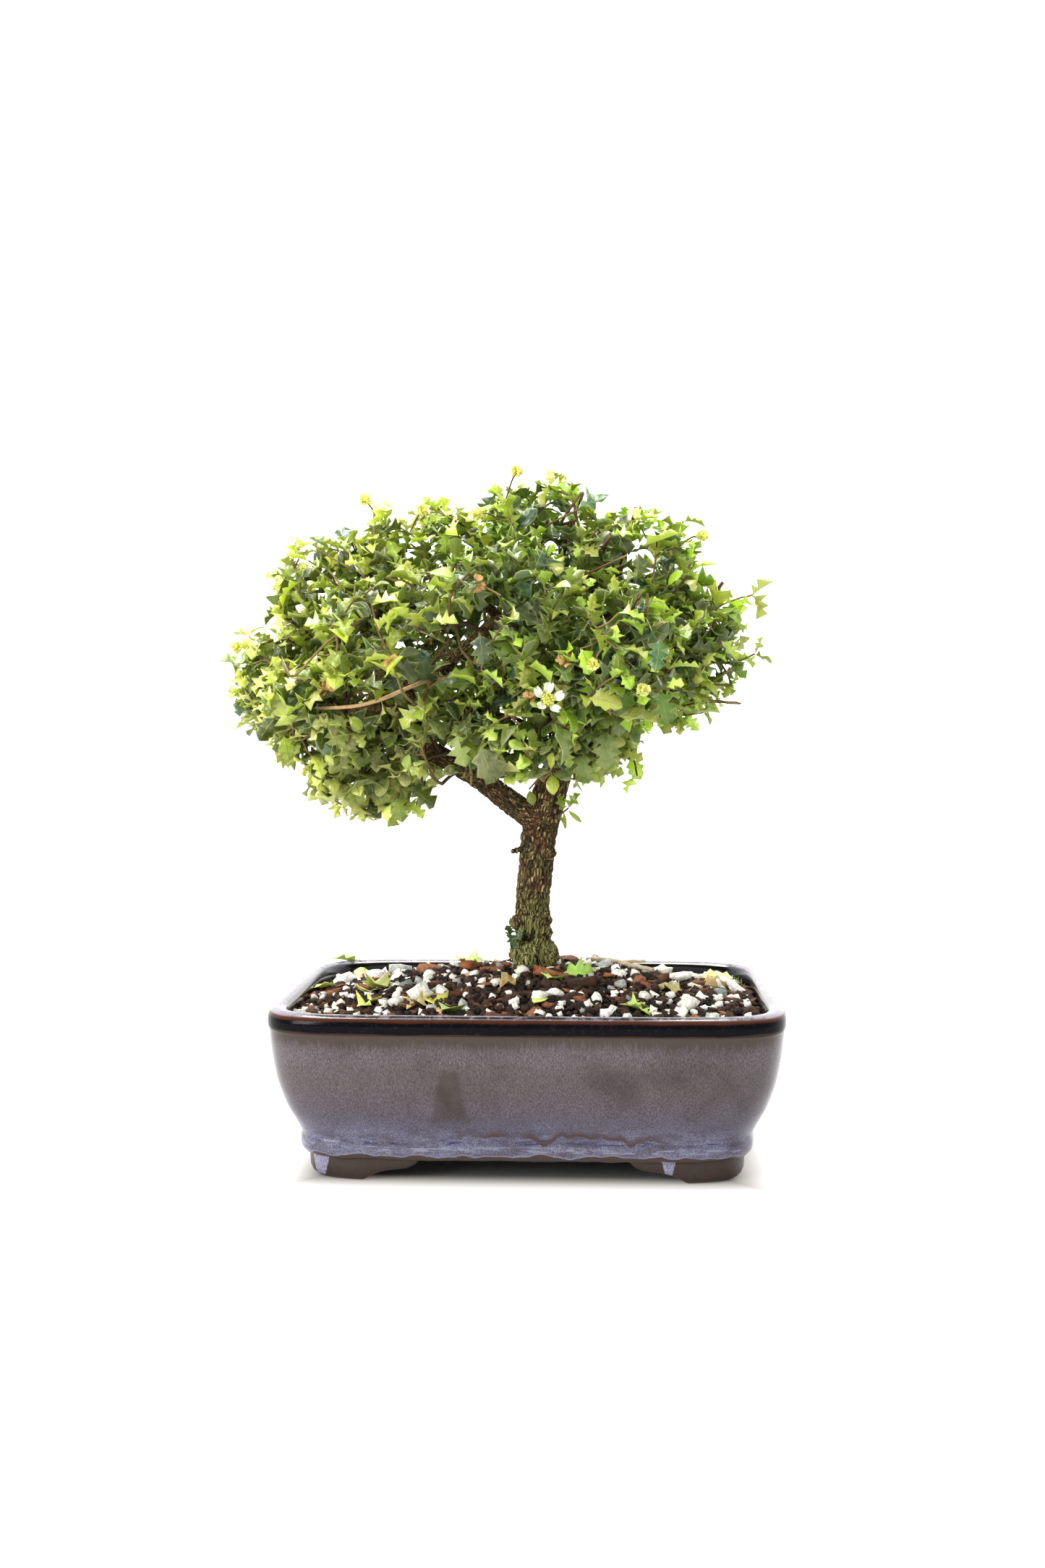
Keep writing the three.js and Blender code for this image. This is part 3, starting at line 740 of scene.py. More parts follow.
    def feet(self, colour: Field) -> tuple[Field, Field]:
        """Lays brown clay and the runs of glaze over the feet.

        Args:
            colour: The glaze above them.

        Returns:
            The colour of all, and the share of bare clay.
        """
        on_foot = (self.wavy * 0.35 + self.z).step(self.FOOT_Z + 0.0005, self.FOOT_Z - 0.0005)
        runs = []
        for middle, half_width, end in self.DRIPS:
            away = abs(self.wavy * 0.4 + self.x - middle) - (self.z - self.FOOT_Z) * 0.25
            runs.append(away.step(half_width, half_width - 0.0005) * self.z.step(end, end + 0.0006))
        kept = runs[0].math("MAXIMUM", runs[1]) * self.front
        clay = self.place.noise(300, 4).mix(self.FOOT, self.CLAY)
        clay = kept.mix(clay, self.fine.step(0.3, 0.6).mix(self.BLUE, self.DRIP))
        return on_foot.mix(colour, clay), on_foot * (kept * -1 + 1)

    def material(self, gloss: float, coat: float) -> bpy.types.Material:
        """Makes the glaze.

        Args:
            gloss: How strongly it shines.
            coat: The share of a clear coat.

        Returns:
            The material.
        """
        colour, banded = self.rim(self.ledge(self.wall()))
        colour, matt = self.feet(self.inside().mix(colour, self.NAVY))
        rough = (banded * -0.12 + 0.26 + matt * 0.25).clamp()
        relief = self.fine * 0.3 + self.place.noise(130)
        return self.shade.done(self.shade.surface(
            colour, rough, relief, 0.0005, 0.2, Specular_IOR_Level=gloss, Coat_Weight=coat, Coat_Roughness=0.08))


@dataclass(frozen=True)
class BarkFinish:
    """Finely cracked bark, brown to olive, and green with algae near the ground."""

    groove: Colour = paint(30, 22, 12)
    ridge: Colour = paint(84, 65, 36)
    flake: Colour = paint(168, 148, 98)
    red: Colour = paint(98, 68, 42)
    young: Colour = paint(124, 98, 60)
    # Pale tan of bare wood; on the branches that show, it partly stands for the light on them
    bare: Colour = paint(172, 138, 96)
    algae: Colour = paint(124, 126, 68)

    def material(self) -> bpy.types.Material:
        """Makes the bark. The nature called fibre is a place that is drawn together along the limb.

        Returns:
            The material.
        """
        s = Shade("tree_bark")
        place, fibre = s.place(), s.nature("fibre", "Vector")
        z, blotches = place.parts()[2], place.noise(90)
        cracks = s.node("ShaderNodeTexVoronoi", {"Vector": fibre, "Scale": 1.1}, feature="DISTANCE_TO_EDGE")
        height = cracks.step(0, 0.28) * 0.42 + s.nature("relief") * 0.34 + fibre.noise(2.4, 4, 0.65) * 0.62 - 0.22
        ridge = blotches.step(0.42, 0.62).mix(self.ridge, self.red)
        ridge = s.nature("thick").step(4.6, 2.6).mix(ridge, self.young)
        ridge = s.nature("bare").mix(ridge, self.bare)
        algae = z.step(0.17, 0.08) * blotches.step(0.6, 0.38) * 0.6 + z.step(0.11, 0.085) * 0.5
        ridge = algae.clamp().mix(ridge, self.algae)
        colour = height.step(0.2, 0.52).mix(self.groove, ridge)
        colour = height.step(0.62, 0.78).mix(colour, self.flake)
        return s.done(s.surface(colour, 0.85, height, 0.0008, 0.9, Specular_IOR_Level=0.25))


@dataclass(frozen=True)
class TwigFinish:
    """Thin shoots, brown where they are woody and green to red where they are young."""

    woody: Colour = paint(70, 52, 32)
    young: Colour = paint(116, 104, 46)
    red: Colour = paint(96, 64, 38)
    # Pale tan of bare wood; on the twig that shows, it partly stands for the light on it
    bare: Colour = paint(164, 132, 88)

    def material(self) -> bpy.types.Material:
        """Makes the bark of the shoots.

        Returns:
            The material.
        """
        s = Shade("twig_bark")
        place = s.place()
        grain = place.noise(900, 3, 0.6)
        soft = place.noise(60, 2).step(0.4, 0.6).mix(self.young, self.red)
        colour = s.nature("thick").step(0.5, 0.9).mix(soft, self.woody)
        colour = s.nature("bare").mix(colour, self.bare).tinted(grain * 0.9 + 0.5)
        return s.done(s.surface(colour, 0.7, grain, 0.0003, 0.6))


@dataclass(frozen=True)
class LeafFinish:
    """Glossy holly leaves that let light through: young yellow-green, old dark, dust and painted light."""

    name: str
    stages: tuple[tuple[float, Colour], ...]
    # The colour of the rib and veins, and of the pale edge, which is partly a painted highlight
    vein: Colour
    glow: Colour
    roughness: float = 0.28
    lets_through: float = 0.42
    # A vivid green for the crown's right side; painted side light keeps the left olive and yellow
    fresh: Colour = paint(174, 222, 52)
    deep: Colour = paint(28, 88, 34)
    # Pale dust colour; on the low leaves it is partly painted light on the shaded lower crown
    dust: Colour = paint(190, 194, 134)
    # The colour of painted glare on upward faces
    bloom: Colour = paint(240, 242, 206)
    underside: Colour = paint(122, 132, 74)

    def material(self) -> bpy.types.Material:
        """Makes the leaves.

        Returns:
            The material.
        """
        s = Shade(self.name)
        place, tint = s.place(), s.nature("tint")
        along, across, _ = s.node("ShaderNodeUVMap", {}, uv_map="blade").parts()
        side, upwards = abs(across), s.node("ShaderNodeNewGeometry", {}, "Normal").parts()[2]
        mottle = place.noise(330, 3, 0.6)
        age = mottle * 0.16 + (s.nature("age") - 0.08)
        # Painted side light: the crown's left stays olive and yellow, as in hazy light, and its right turns greener
        fresh = (place.noise(22, 2) * 0.16 + place.parts()[0]).step(0.02, 0.12) * 0.75 + 0.15
        shown = fresh * tint.step(0.2, 0.7) * 0.6
        colour = shown.mix(age.ramp(self.stages), age.mix(self.fresh, self.deep)).tinted(tint + 0.74)

        # A pale rib, side veins that sweep forward from it to the edge, and a pale edge, partly a painted highlight
        waves = abs(((side * -0.22 + along) * 24).math("SINE"))
        veins = (waves.step(0.2, 0.02) * 0.45).math("MAXIMUM", side.step(0.13, 0.03))
        colour = (veins * 0.32).mix(colour, self.vein)
        colour = (side.step(0.72, 0.98) * 0.55).mix(colour, self.vein)

        # Painted glare: pale patches on upward faces, as if they caught the light, weaker on the crown's right
        painted_glare = upwards.step(0.2, 0.8) * place.noise(260, 3, 0.7).step(0.5, 0.6) * (fresh * -0.3 + 0.5)
        colour = painted_glare.mix(colour, self.bloom)
        colour = (upwards.step(0, -0.5) * 0.4).mix(colour, self.underside)
        # Dust, which on the low leaves is partly painted light
        dust_and_light_share = s.nature("dust") * place.noise(190, 4, 0.7).step(0.3, 0.62)
        colour = (dust_and_light_share * 0.7).mix(colour, self.dust)
        blade = s.surface(colour, dust_and_light_share * 0.35 + self.roughness, mottle * 0.5 + veins, 0.00035, 0.55,
                          Specular_IOR_Level=0.75)
        lit = s.node("ShaderNodeMix", {"Factor": 1.0, 6: colour, 7: self.glow}, 2, data_type="RGBA",
                     blend_type="SCREEN")
        return s.done(s.backlit(blade, lit, self.lets_through))


@dataclass(frozen=True)
class GritFinish:
    """Loose grains of one kind, each with its own place between a dark and a pale colour."""

    name: str
    dark: Colour
    pale: Colour
    pits: float
    roughness: float = 0.9
    relief: float = 0.0008
    grain: Place = (1, 1, 1)

    def material(self) -> bpy.types.Material:
        """Makes the surface of the grains.

        Returns:
            The material.
        """
        s = Shade(self.name)
        grain = s.place().noise(self.pits, 5, 0.7, self.grain)
        colour = s.nature("tint").mix(self.dark, self.pale).tinted(grain.step(0.28, 0.62) * 0.62 + 0.5)
        return s.done(s.surface(colour, self.roughness, grain, self.relief, 0.8, Specular_IOR_Level=0.25))


@dataclass(frozen=True)
class PetalFinish:
    """A soft part of a flower, which lets some light through."""

    name: str
    inner: Colour
    outer: Colour
    lets_through: float = 0.3

    def material(self) -> bpy.types.Material:
        """Makes the petal.

        Returns:
            The material.
        """
        s = Shade(self.name)
        along = s.node("ShaderNodeUVMap", {}, uv_map="blade").parts()[0]
        mottle = s.place().noise(900)
        colour = (mottle * 0.3 + along).step(0.25, 0.75).mix(self.inner, self.outer)
        return s.done(s.backlit(s.surface(colour, 0.6, mottle, 0.0002, 0.5), colour, self.lets_through))


# Leaf colours, young to old: the palest is partly painted light, the blue-green oldest partly painted sky reflection
GREEN_STAGES = ((0.0, paint(238, 238, 150)), (0.17, paint(204, 214, 84)), (0.4, paint(152, 168, 38)),
                (0.64, paint(100, 118, 24)), (0.86, paint(64, 78, 18)), (0.97, paint(54, 90, 66)))
FALLEN_STAGES = ((0.0, paint(240, 216, 90)), (0.35, paint(212, 226, 112)), (0.7, paint(136, 182, 74)),
                 (1.0, paint(196, 160, 96)))
FINISHES = (
    BarkFinish(),
    TwigFinish(),
    LeafFinish("holly_leaf", GREEN_STAGES, paint(186, 196, 110), paint(96, 104, 0)),
    LeafFinish("fallen_leaf", FALLEN_STAGES, paint(220, 214, 150), paint(64, 60, 10), 0.5, 0.25),
    GritFinish("humus", paint(20, 14, 11), paint(76, 54, 40), 700),
    GritFinish("perlite", paint(228, 224, 208), paint(255, 253, 244), 520, relief=0.0006),
    GritFinish("pumice", paint(116, 124, 122), paint(192, 194, 184), 640),
    GritFinish("bark_chip", paint(48, 32, 23), paint(154, 98, 62), 420, grain=(1, 0.25, 1)),
    GritFinish("straw", paint(140, 92, 56), paint(224, 190, 140), 500),
    GritFinish("moss", paint(88, 104, 38), paint(170, 184, 84), 900, 0.8),
    GritFinish("screen_plastic", paint(30, 30, 32), paint(44, 44, 46), 300, 0.55, 0.0001),
    GritFinish("dry_twig", paint(150, 132, 104), paint(206, 190, 160), 600, grain=(0.3, 1, 1)),
    PetalFinish("petal", paint(226, 226, 132), paint(250, 250, 244)),
    PetalFinish("pale_petal", paint(212, 218, 96), paint(240, 242, 176), 0.4),
    PetalFinish("stamen", paint(214, 210, 72), paint(236, 234, 120)),
    PetalFinish("withered_petal", paint(190, 104, 44), paint(222, 176, 112), 0.2),
)


class Bonsai:
    """The frame's place for the pot, the finishes, and the pieces that are added."""

    def __init__(self, pot: "GlazedPot") -> None:
        """Finds the pot's solid in the frame and makes every finish once, with the glaze on the pot's sizes.

        Args:
            pot: The pot, which gives the glaze its sizes.
        """
        low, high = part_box("pot")
        self.centre = Vector(((low.x + high.x) / 2, (low.y + high.y) / 2, low.z))
        half = (pot.half_length * MM, pot.half_depth * MM)
        made = [finish.material() for finish in FINISHES]
        made.append(GlazeFinish("pot_glaze", self.centre, half).material(0.3, 0.2))
        made.append(GlazeFinish("pot_rim_glaze", self.centre, half).material(0.07, 0.0))
        # Where the frame has a material of the same name, a finish's own name gets a number after a point
        self.finishes = {material.name.partition(".")[0]: material for material in made}

    def add(self, name: str, mesh: bpy.types.Mesh, dress: str, slot: str, *nodes: str) -> None:
        """Takes a mesh from the pot's millimetres to the frame's metres and adds it as a piece.

        Args:
            name: The piece's name.
            mesh: Its finished mesh.
            dress: The names of its finishes in order, with spaces between them.
            slot: The record's material slot. It is not used.
            nodes: The solids that it stands for.
        """
        mesh.transform(Matrix.Translation(self.centre) @ Matrix.Scale(MM, 4))
        mesh.name = name
        for finish in dress.split():
            mesh.materials.append(self.finishes[finish])
        piece = linked(name, mesh)
        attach(piece, "root")
        if nodes:
            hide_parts(*nodes)
        LOG.info("%s: %d faces", name, len(mesh.polygons))

    def lies(self, node: str) -> tuple[Vector, float]:
        """Where a solid lies, in the pot's millimetres: its middle and the height of its underside."""
        low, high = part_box(node)
        return ((low + high) / 2 - self.centre) / MM, (low.z - self.centre.z) / MM


# The pot


@dataclass
class GlazedPot:
    """The pot: a rounded rectangular bowl with a rolled lip, a ledge and four cloud feet."""

    half_length: float = 105
    half_depth: float = 79.5
    squareness: float = 7.4
    wall: float = 7.8
    floor_top: float = 15
    underside: float = 9.2
    foot_scale: float = 0.851
    drain_radius: float = 7
    drain_spacing: float = 90
    ring_points: int = 264
    dark_band: Range = (60.2, 66.7)
    # Rows of height, scale of the plan and inset, from the underside up to the lip and down the inside
    ledge: tuple[Place, ...] = (
        (9.2, 0.6, 0), (9.2, 0.862, 0.6), (9.5, 0.868, 0), (10.4, 0.8755, 0), (12, 0.881, 0), (14, 0.884, 0),
        (15.6, 0.8835, 0), (16.6, 0.8805, 0), (17.4, 0.8785, 0))
    belly: tuple[Place, ...] = (
        (17.4, 0.8785, 0), (22, 0.9, 0), (28, 0.93, 0), (34, 0.951, 0), (40, 0.968, 0), (50, 0.984, 0),
        (59.6, 0.9935, 0))
    rim: tuple[Place, ...] = (
        (60.6, 0.995, 0), (61.3, 0.9988, 0), (62.2, 1, 0), (64.2, 1, 0), (65.8, 1, 0.25), (67, 1, 0.95),
        (67.9, 1, 2.1), (68.3, 1, 3.6), (68.15, 1, 5.1), (67.5, 1, 6.5), (66.2, 1, 7.5), (64, 0.9985, 7.8))
    inside: tuple[Place, ...] = (
        (60, 0.994, 7.8), (56, 0.99, 7.8), (40, 0.962, 7.8), (28, 0.925, 7.8), (19, 0.888, 7.8),
        (15.6, 0.873, 8.6), (15, 0.86, 10), (15, 0.6, 10))
    # The gap between two feet: height over half of the side that it runs through
    archway: tuple[Range, ...] = (
        (0.44, 10.4), (0.462, 9.0), (0.49, 6.4), (0.53, 5.1), (0.6, 4.3), (0.65, 3.4), (0.69, 1.7), (0.72, 0.0))
    # Rows of the wall of feet, outside and then inside: share of its height and inset
    foot_profile: tuple[Range, ...] = (
        (1, 0.0), (0.6, 0.15), (0.3, 0.3), (0.14, 0.9), (0.04, 1.9), (0, 3.2), (0, 11), (0.05, 12.2), (0.16, 13),
        (1, 13))

    def ring(self, z: float, scale: float, inset: float, wander: float = 0.3) -> list[Vector]:
        """The pot's plan at a height, as evenly spaced points.

        Args:
            z: The height.
            scale: Size of the superellipse.
            inset: How far it is then moved inwards.
            wander: How far hand work lets it stray.

        Returns:
            The ring's points, from +X round by +Y.
        """
        a = self.half_length * scale - inset
        b = self.half_depth * scale - inset
        turn = np.linspace(0, FULL_TURN, 6001)
        power = 2 / self.squareness
        x = a * np.sign(np.cos(turn)) * np.abs(np.cos(turn)) ** power
        y = b * np.sign(np.sin(turn)) * np.abs(np.sin(turn)) ** power
        run = np.concatenate([[0], np.cumsum(np.hypot(np.diff(x), np.diff(y)))])
        even = np.linspace(0, run[-1], self.ring_points, endpoint=False)
        points = []
        for px, py in zip(np.interp(even, run, x), np.interp(even, run, y)):
            stray = wander * noise.noise(Vector((px * 0.02, py * 0.02, z * 0.03)))
            points.append(Vector((px, py, z)) + Vector((px / a, py / b, 0)) * stray)
        return points

    def rows(self) -> list[list[Vector]]:
        """The bowl's rings. The glaze on the ledge lies thick and uneven.

        Returns:
            Rings of points, from the outside over the rim to the floor.
        """
        belly = [place for place, _ in smooth_line([Vector(key) for key in self.belly], 3)]
        rings = [self.ring(*key) for key in (*self.ledge, *belly[1:], *self.rim, *self.inside)]
        for point in [point for ring in rings[1:len(self.ledge) + 3] for point in ring]:
            run = noise.noise(Vector((point.x * 0.045, point.y * 0.045, 7)))
            fine = noise.noise(Vector((point.x * 0.16, point.y * 0.16, 3)))
            thick = smooth_share(point.z, 22, 13)
            point += Vector((point.x, point.y, 0)).normalized() * thick * (0.55 * run + 0.3 * fine)
            if point.z < 11.5:
                point.z += 0.9 * run + 0.5 * fine
        return rings

    def foot_rows(self) -> list[list[Vector]]:
        """The rings of the wall of feet, whose lower edge rises to the underside between the feet.

        Returns:
            Rings of points.
        """
        places, heights = zip(*self.archway)
        rings = []
        for share, inset in self.foot_profile:
            rings.append(self.ring(0, self.foot_scale, inset))
            for point in rings[-1]:
                along = (abs(point.x) / (self.half_length * self.foot_scale),
                         abs(point.y) / (self.half_depth * self.foot_scale))
                low = float(max(np.interp(along, places, heights)))
                point.z = low + share * (self.underside + 1.6 - low)
        return [*rings, rings[0]]

    def build(self) -> bpy.types.Mesh:
        """Models the bowl and its feet, and drills the two drain holes.

        Returns:
            The closed mesh.
        """
        drills = bmesh.new()
        for side in (-1, 1):
            bmesh.ops.create_cone(
                drills, cap_ends=True, segments=48, radius1=self.drain_radius, radius2=self.drain_radius, depth=20,
                matrix=Matrix.Translation((side * self.drain_spacing / 2, 0, self.underside)))
        drill = linked("drill", mesh_of(drills))
        bowl = modified(mesh_of(loft(self.rows())), "BOOLEAN", object=drill, operation="DIFFERENCE", solver="EXACT")
        bpy.data.objects.remove(drill)
        mesh = mesh_of(bmesh_of(bowl, mesh_of(loft(self.foot_rows(), closed=True))), 55)
        low, high = self.dark_band
        for face in mesh.polygons:
            across = abs(face.center.x) / (self.half_length - 4)
            deep = abs(face.center.y) / (self.half_depth - 4)
            is_outside = across**self.squareness + deep**self.squareness > 1
            face.material_index = int(is_outside and low < face.center.z < high)
        return mesh

    def add_to(self, bonsai: Bonsai) -> None:
        """Adds the pot and the mesh over its drain holes.

        Args:
            bonsai: The bonsai that takes the pieces.
        """
        bonsai.add("pot_glazed", self.build(), "pot_glaze pot_rim_glaze", "glaze", "pot")
        for name, side in (("left", -1), ("right", 1)):
            mesh = DrainScreen().build(side * self.drain_spacing / 2, self.floor_top)
            bonsai.add(f"drain_mesh_{name}", mesh, "screen_plastic", "screen", f"drain_screen_{name}")


@dataclass
class DrainScreen:
    """A square of plastic mesh: two layers of round bars that are welded where they cross."""

    half: float = 11
    bars: int = 8
    bar_radius: float = 0.42
    clearance: float = 0.35

    def build(self, x: float, floor: float) -> bpy.types.Mesh:
        """Models the mesh over a hole.

        Args:
            x: The hole's place.
            floor: The height of the pot's floor.

        Returns:
            The mesh.
        """
        lines = []
        low = floor + self.clearance + self.bar_radius
        for number in range(self.bars):
            across = (number / (self.bars - 1) - 0.5) * (2 * self.half - 2 * self.bar_radius)
            for ends in ([(x + side * self.half, across, low) for side in (-1, 1)],
                         [(x + across, side * self.half, low + 0.1) for side in (-1, 1)]):
                lines.append([(Vector(end), self.bar_radius) for end in ends])
        mesh = tubes(lines, 2)
        add_nature(mesh, "tint", [0.5] * len(mesh.vertices))
        return mesh


# The soil


@dataclass(frozen=True)
class GrainKind:
    """A kind of grain: what its piece is called and dressed in, its sizes as length, width and height, how round
    and how rough it is, how many there are and how long, how deep they are sunk, the room between them as a
    share of their size, and the seed of their draw."""

    piece: str
    finish: str
    sizes: Place
    roundness: float
    roughness: float
    count: int
    lengths: Range
    sunk: float
    room: float
    seed: int


class Grain(Enum):
    """The kinds of grain in the soil mix, in the order in which they are scattered."""

    PERLITE = GrainKind("perlite_grains", "perlite", (1, 0.85, 0.75), 0.5, 0.27, 300, (2.4, 6.4), 0.2, 0.8, 11)
    PUMICE = GrainKind("pumice_grains", "pumice", (1, 0.8, 0.7), 0.5, 0.27, 45, (3, 6.5), 0.25, 0.8, 12)
    CHIP = GrainKind("bark_chips", "bark_chip", (1, 0.4, 0.24), 0.16, 0.24, 220, (3, 11), 0.1, 0.55, 13)
    HUMUS = GrainKind("humus_clumps", "humus", (1, 0.85, 0.75), 0.55, 0.3, 2300, (1.6, 5.4), 0.35, 0.3, 14)
    SLAB = GrainKind("perlite_slabs", "perlite", (1, 0.42, 0.34), 0.5, 0.24, 14, (2.4, 6.4), 0.2, 0.8, 15)
    STRAW = GrainKind("straw_bits", "straw", (1, 0.35, 0.16), 0.1, 0.3, 170, (2.2, 6), 0.0, 0.5, 16)

    def shapes(self, count: int) -> list[Shape]:
        """Makes some templates of it.

        Args:
            count: How many.

        Returns:
            Worn blocks of two dozen faces, each one millimetre long.
        """
        made = []
        for number in range(count):
            rng = random.Random(f"{self.name}{number}")
            bm = bmesh.new()
            bmesh.ops.create_cube(bm, size=1)
            bmesh.ops.subdivide_edges(bm, edges=bm.edges[:], cuts=1, use_grid_fill=True)
            for vertex in bm.verts:
                vertex.co = vertex.co.lerp(vertex.co.normalized() * 0.5, self.value.roundness)
                vertex.co *= 1 + self.value.roughness * rng.uniform(-1, 1)
            bmesh.ops.scale(bm, vec=self.value.sizes, verts=bm.verts)
            made.append(Shape.take(bm))
        return made


# The large grains that show best: x, y, length and turn
LANDMARKS = {
    Grain.SLAB: ((88, 17, 17, 0.15), (62, 14, 15, 0.1), (74, 52, 11, 0.2)),
    Grain.PERLITE: ((29, 42, 9, 1.1), (57, 33, 8.5, 0.7), (-18, 44, 8, 0.3), (-85, 27, 8.5, 2.8), (-71, 26, 9, 0.1),
                    (-45, -28, 9.5, 0.3), (66, -30, 8, 0.8)),
    Grain.PUMICE: ((-63, 49, 10.5, 0.2), (-20, 72, 8, 0.5), (32, 20, 8, 0.9)),
    Grain.CHIP: ((-27, 16, 15, 1.2), (12, 42, 17, 0.7), (22, -18, 14, 2.7), (9, -9, 15, 0.2), (-47, 18, 12, 2.2),
                 (56, 8, 12, 1.9)),
}


@dataclass
class SoilMix:
    """The soil: a bed that rises to the trunk, covered in humus, perlite, pumice and bark chips."""

    pot: GlazedPot
    edge_z: float = 61.5
    mound: float = 13
    trunk_radius: float = 9.5
    rings: int = 44
    templates: int = 7
    # The room that a small grain, a shed leaf and a loose leaf take from the next grains
    grain_room: float = 4
    shed_room: float = 9
    loose_room: float = 7

    def height(self, x: float, y: float) -> float:
        """Height of the soil at a place."""
        far = ((x - TRUNK_FOOT.x) / self.pot.half_length) ** 2 + ((y - TRUNK_FOOT.y) / self.pot.half_depth) ** 2
        return self.edge_z + self.mound * (1 - min(1, far)) ** 1.6

    def bed(self) -> bpy.types.Mesh:
        """Models the body of soil, which fills the pot, with an uneven top between the grains.

        Returns:
            The closed mesh.
        """
        rows = [self.pot.ring(z, scale, inset + 0.7, 0) for z, scale, inset in self.pot.inside[5:0:-1]]
        for point in rows[0]:
            point.z += 0.4
        for number in range(self.rings):
            share = 1 - number / self.rings
            rows.append(self.pot.ring(0, 0.994 * share, 8.6 * share, 0))
            for point in rows[-1]:
                point += TRUNK_FOOT * (1 - share)
                place = Vector((point.x, point.y, 0))
                rough = sum(rise * noise.noise(place * scale) for rise, scale in ((0.9, 0.11), (0.8, 0.37), (0.4, 0.9)))
                point.z = self.height(point.x, point.y) + rough - 0.5
        mesh = mesh_of(loft(rows))
        add_nature(mesh, "tint", (0.1 + 0.3 * noise.noise(v.co * 0.3) for v in mesh.vertices))
        return mesh

    def places(self, kind: GrainKind, rng: random.Random, taken: list[Place]) -> list[Range]:
        """Draws places for grains, away from the wall, the trunk and what is there already.

        Args:
            kind: Their kind.
            rng: The random numbers.
            taken: The x, y and size of each grain so far, to which these are added.

        Returns:
            The places.
        """
        found = []
        reach = [half - self.pot.wall - 1.5 for half in (self.pot.half_length, self.pot.half_depth)]
        while len(found) < kind.count:
            x, y = (rng.uniform(-far, far) for far in reach)
            if (abs(x) / reach[0]) ** self.pot.squareness + (abs(y) / reach[1]) ** self.pot.squareness > 1:
                continue
            if math.hypot(x - TRUNK_FOOT.x, y - TRUNK_FOOT.y) < self.trunk_radius:
                continue
            if any(math.hypot(x - a, y - b) < kind.room * size for a, b, size in taken):
                continue
            found.append((x, y))
            taken.append((x, y, self.grain_room))
        return found

    def scatter(self, grain: Grain, taken: list[Place]) -> bpy.types.Mesh:
        """Scatters grains of one kind over the bed.

        Args:
            grain: The kind.
            taken: Where other grains lie.

        Returns:
            The mesh.
        """
        kind = grain.value
        rng = random.Random(kind.seed)
        shapes = grain.shapes(self.templates)
        stamps = Stamps("tint")
        low, high = kind.lengths
        tilt = 0.35 if grain is Grain.CHIP else 0.6
        loose = [(x, y, rng.triangular(low, high, low), rng.uniform(0, FULL_TURN))
                 for x, y in self.places(kind, rng, taken)]
        for x, y, length, turn in (*LANDMARKS.get(grain, ()), *loose):
            turned = Euler((rng.uniform(-tilt, tilt), rng.uniform(-tilt, tilt), turn)).to_matrix().to_4x4()
            stretch = Matrix.Diagonal((length, length * rng.uniform(0.8, 1.15), length * rng.uniform(0.85, 1.1), 1))
            foot = Matrix.Translation((x, y, self.height(x, y) + length * kind.sizes[2] * (0.5 - kind.sunk)))
            stamps.add(rng.choice(shapes), foot @ turned @ stretch, [rng.random()])
        return stamps.mesh()

    def add_to(self, bonsai: Bonsai) -> None:
        """Adds the bed and everything that lies on it. Humus lies under the other grains, so it shares no room.

        Args:
            bonsai: The bonsai that takes the pieces.
        """
        bonsai.add("soil_bed", self.bed(), "humus", "soil", "soil")
        shed = [bonsai.lies(f"shed_leaf_{leaf.name}")[0] for leaf in SHED_LEAVES]
        fallen = [(middle.x, middle.y, self.shed_room) for middle in shed]
        fallen += [(x, y, self.loose_room) for x, y, *_ in LOOSE_LEAVES]
        taken = fallen + [(x, y, length) for rows in LANDMARKS.values() for x, y, length, _ in rows]
        for grain in Grain:
            mesh = self.scatter(grain, list(fallen) if grain is Grain.HUMUS else taken)
            bonsai.add(grain.value.piece, mesh, grain.value.finish, "soil")
        bonsai.add("moss_tufts", Moss(self).build(), "moss", "soil")


@dataclass
class Moss:
    """Small tufts of moss and seedling grass near the trunk and the back rim."""

    soil: SoilMix
    # x, y, radius of the tuft, number of blades and their length
    tufts: tuple[tuple[float, float, float, int, float], ...] = (
        (13, 8, 4, 70, 3.2), (16, 13, 4, 50, 3), (-9, 7, 3, 40, 2.4), (8, -1, 3, 30, 2.2), (24, 24, 5, 50, 3),
        (89, 41, 6, 60, 6), (54, 60, 4, 24, 5), (-64, 3, 4, 24, 4), (-38, -38, 3, 16, 4), (12, 20, 3, 40, 2.6))

    def build(self) -> bpy.types.Mesh:
        """Models the blades, each a thin bent spike.

        Returns:
            The mesh of all the blades.
        """
        spike = rod(3, 0.11, 0.02)
        rng = random.Random(31)
        stamps = Stamps("tint")
        for x, y, radius, blades, length in self.tufts:
            for _ in range(blades):
                turn = rng.uniform(0, FULL_TURN)
                far = radius * math.sqrt(rng.random())
                foot = Vector((x + far * math.cos(turn), y + far * math.sin(turn), 0))
                foot.z = self.soil.height(foot.x, foot.y) - 0.4
                lean = Euler((rng.gauss(0, 0.45), rng.gauss(0, 0.45), turn)).to_matrix().to_4x4()
                wide = 1.2 + 0.25 * length
                size = Matrix.Diagonal((wide, wide, length * rng.uniform(0.5, 1), 1))
                stamps.add(spike, Matrix.Translation(foot) @ lean @ size, [rng.random()])
        return stamps.mesh()


# The wood


@dataclass(frozen=True)
class Limb:
    """A limb: its radii from base to tip, its further points, and the limb and place that it starts from."""

    radii: tuple[float, ...]
    points: tuple[Place, ...]
    parent: str | None = None
    place: float = 0


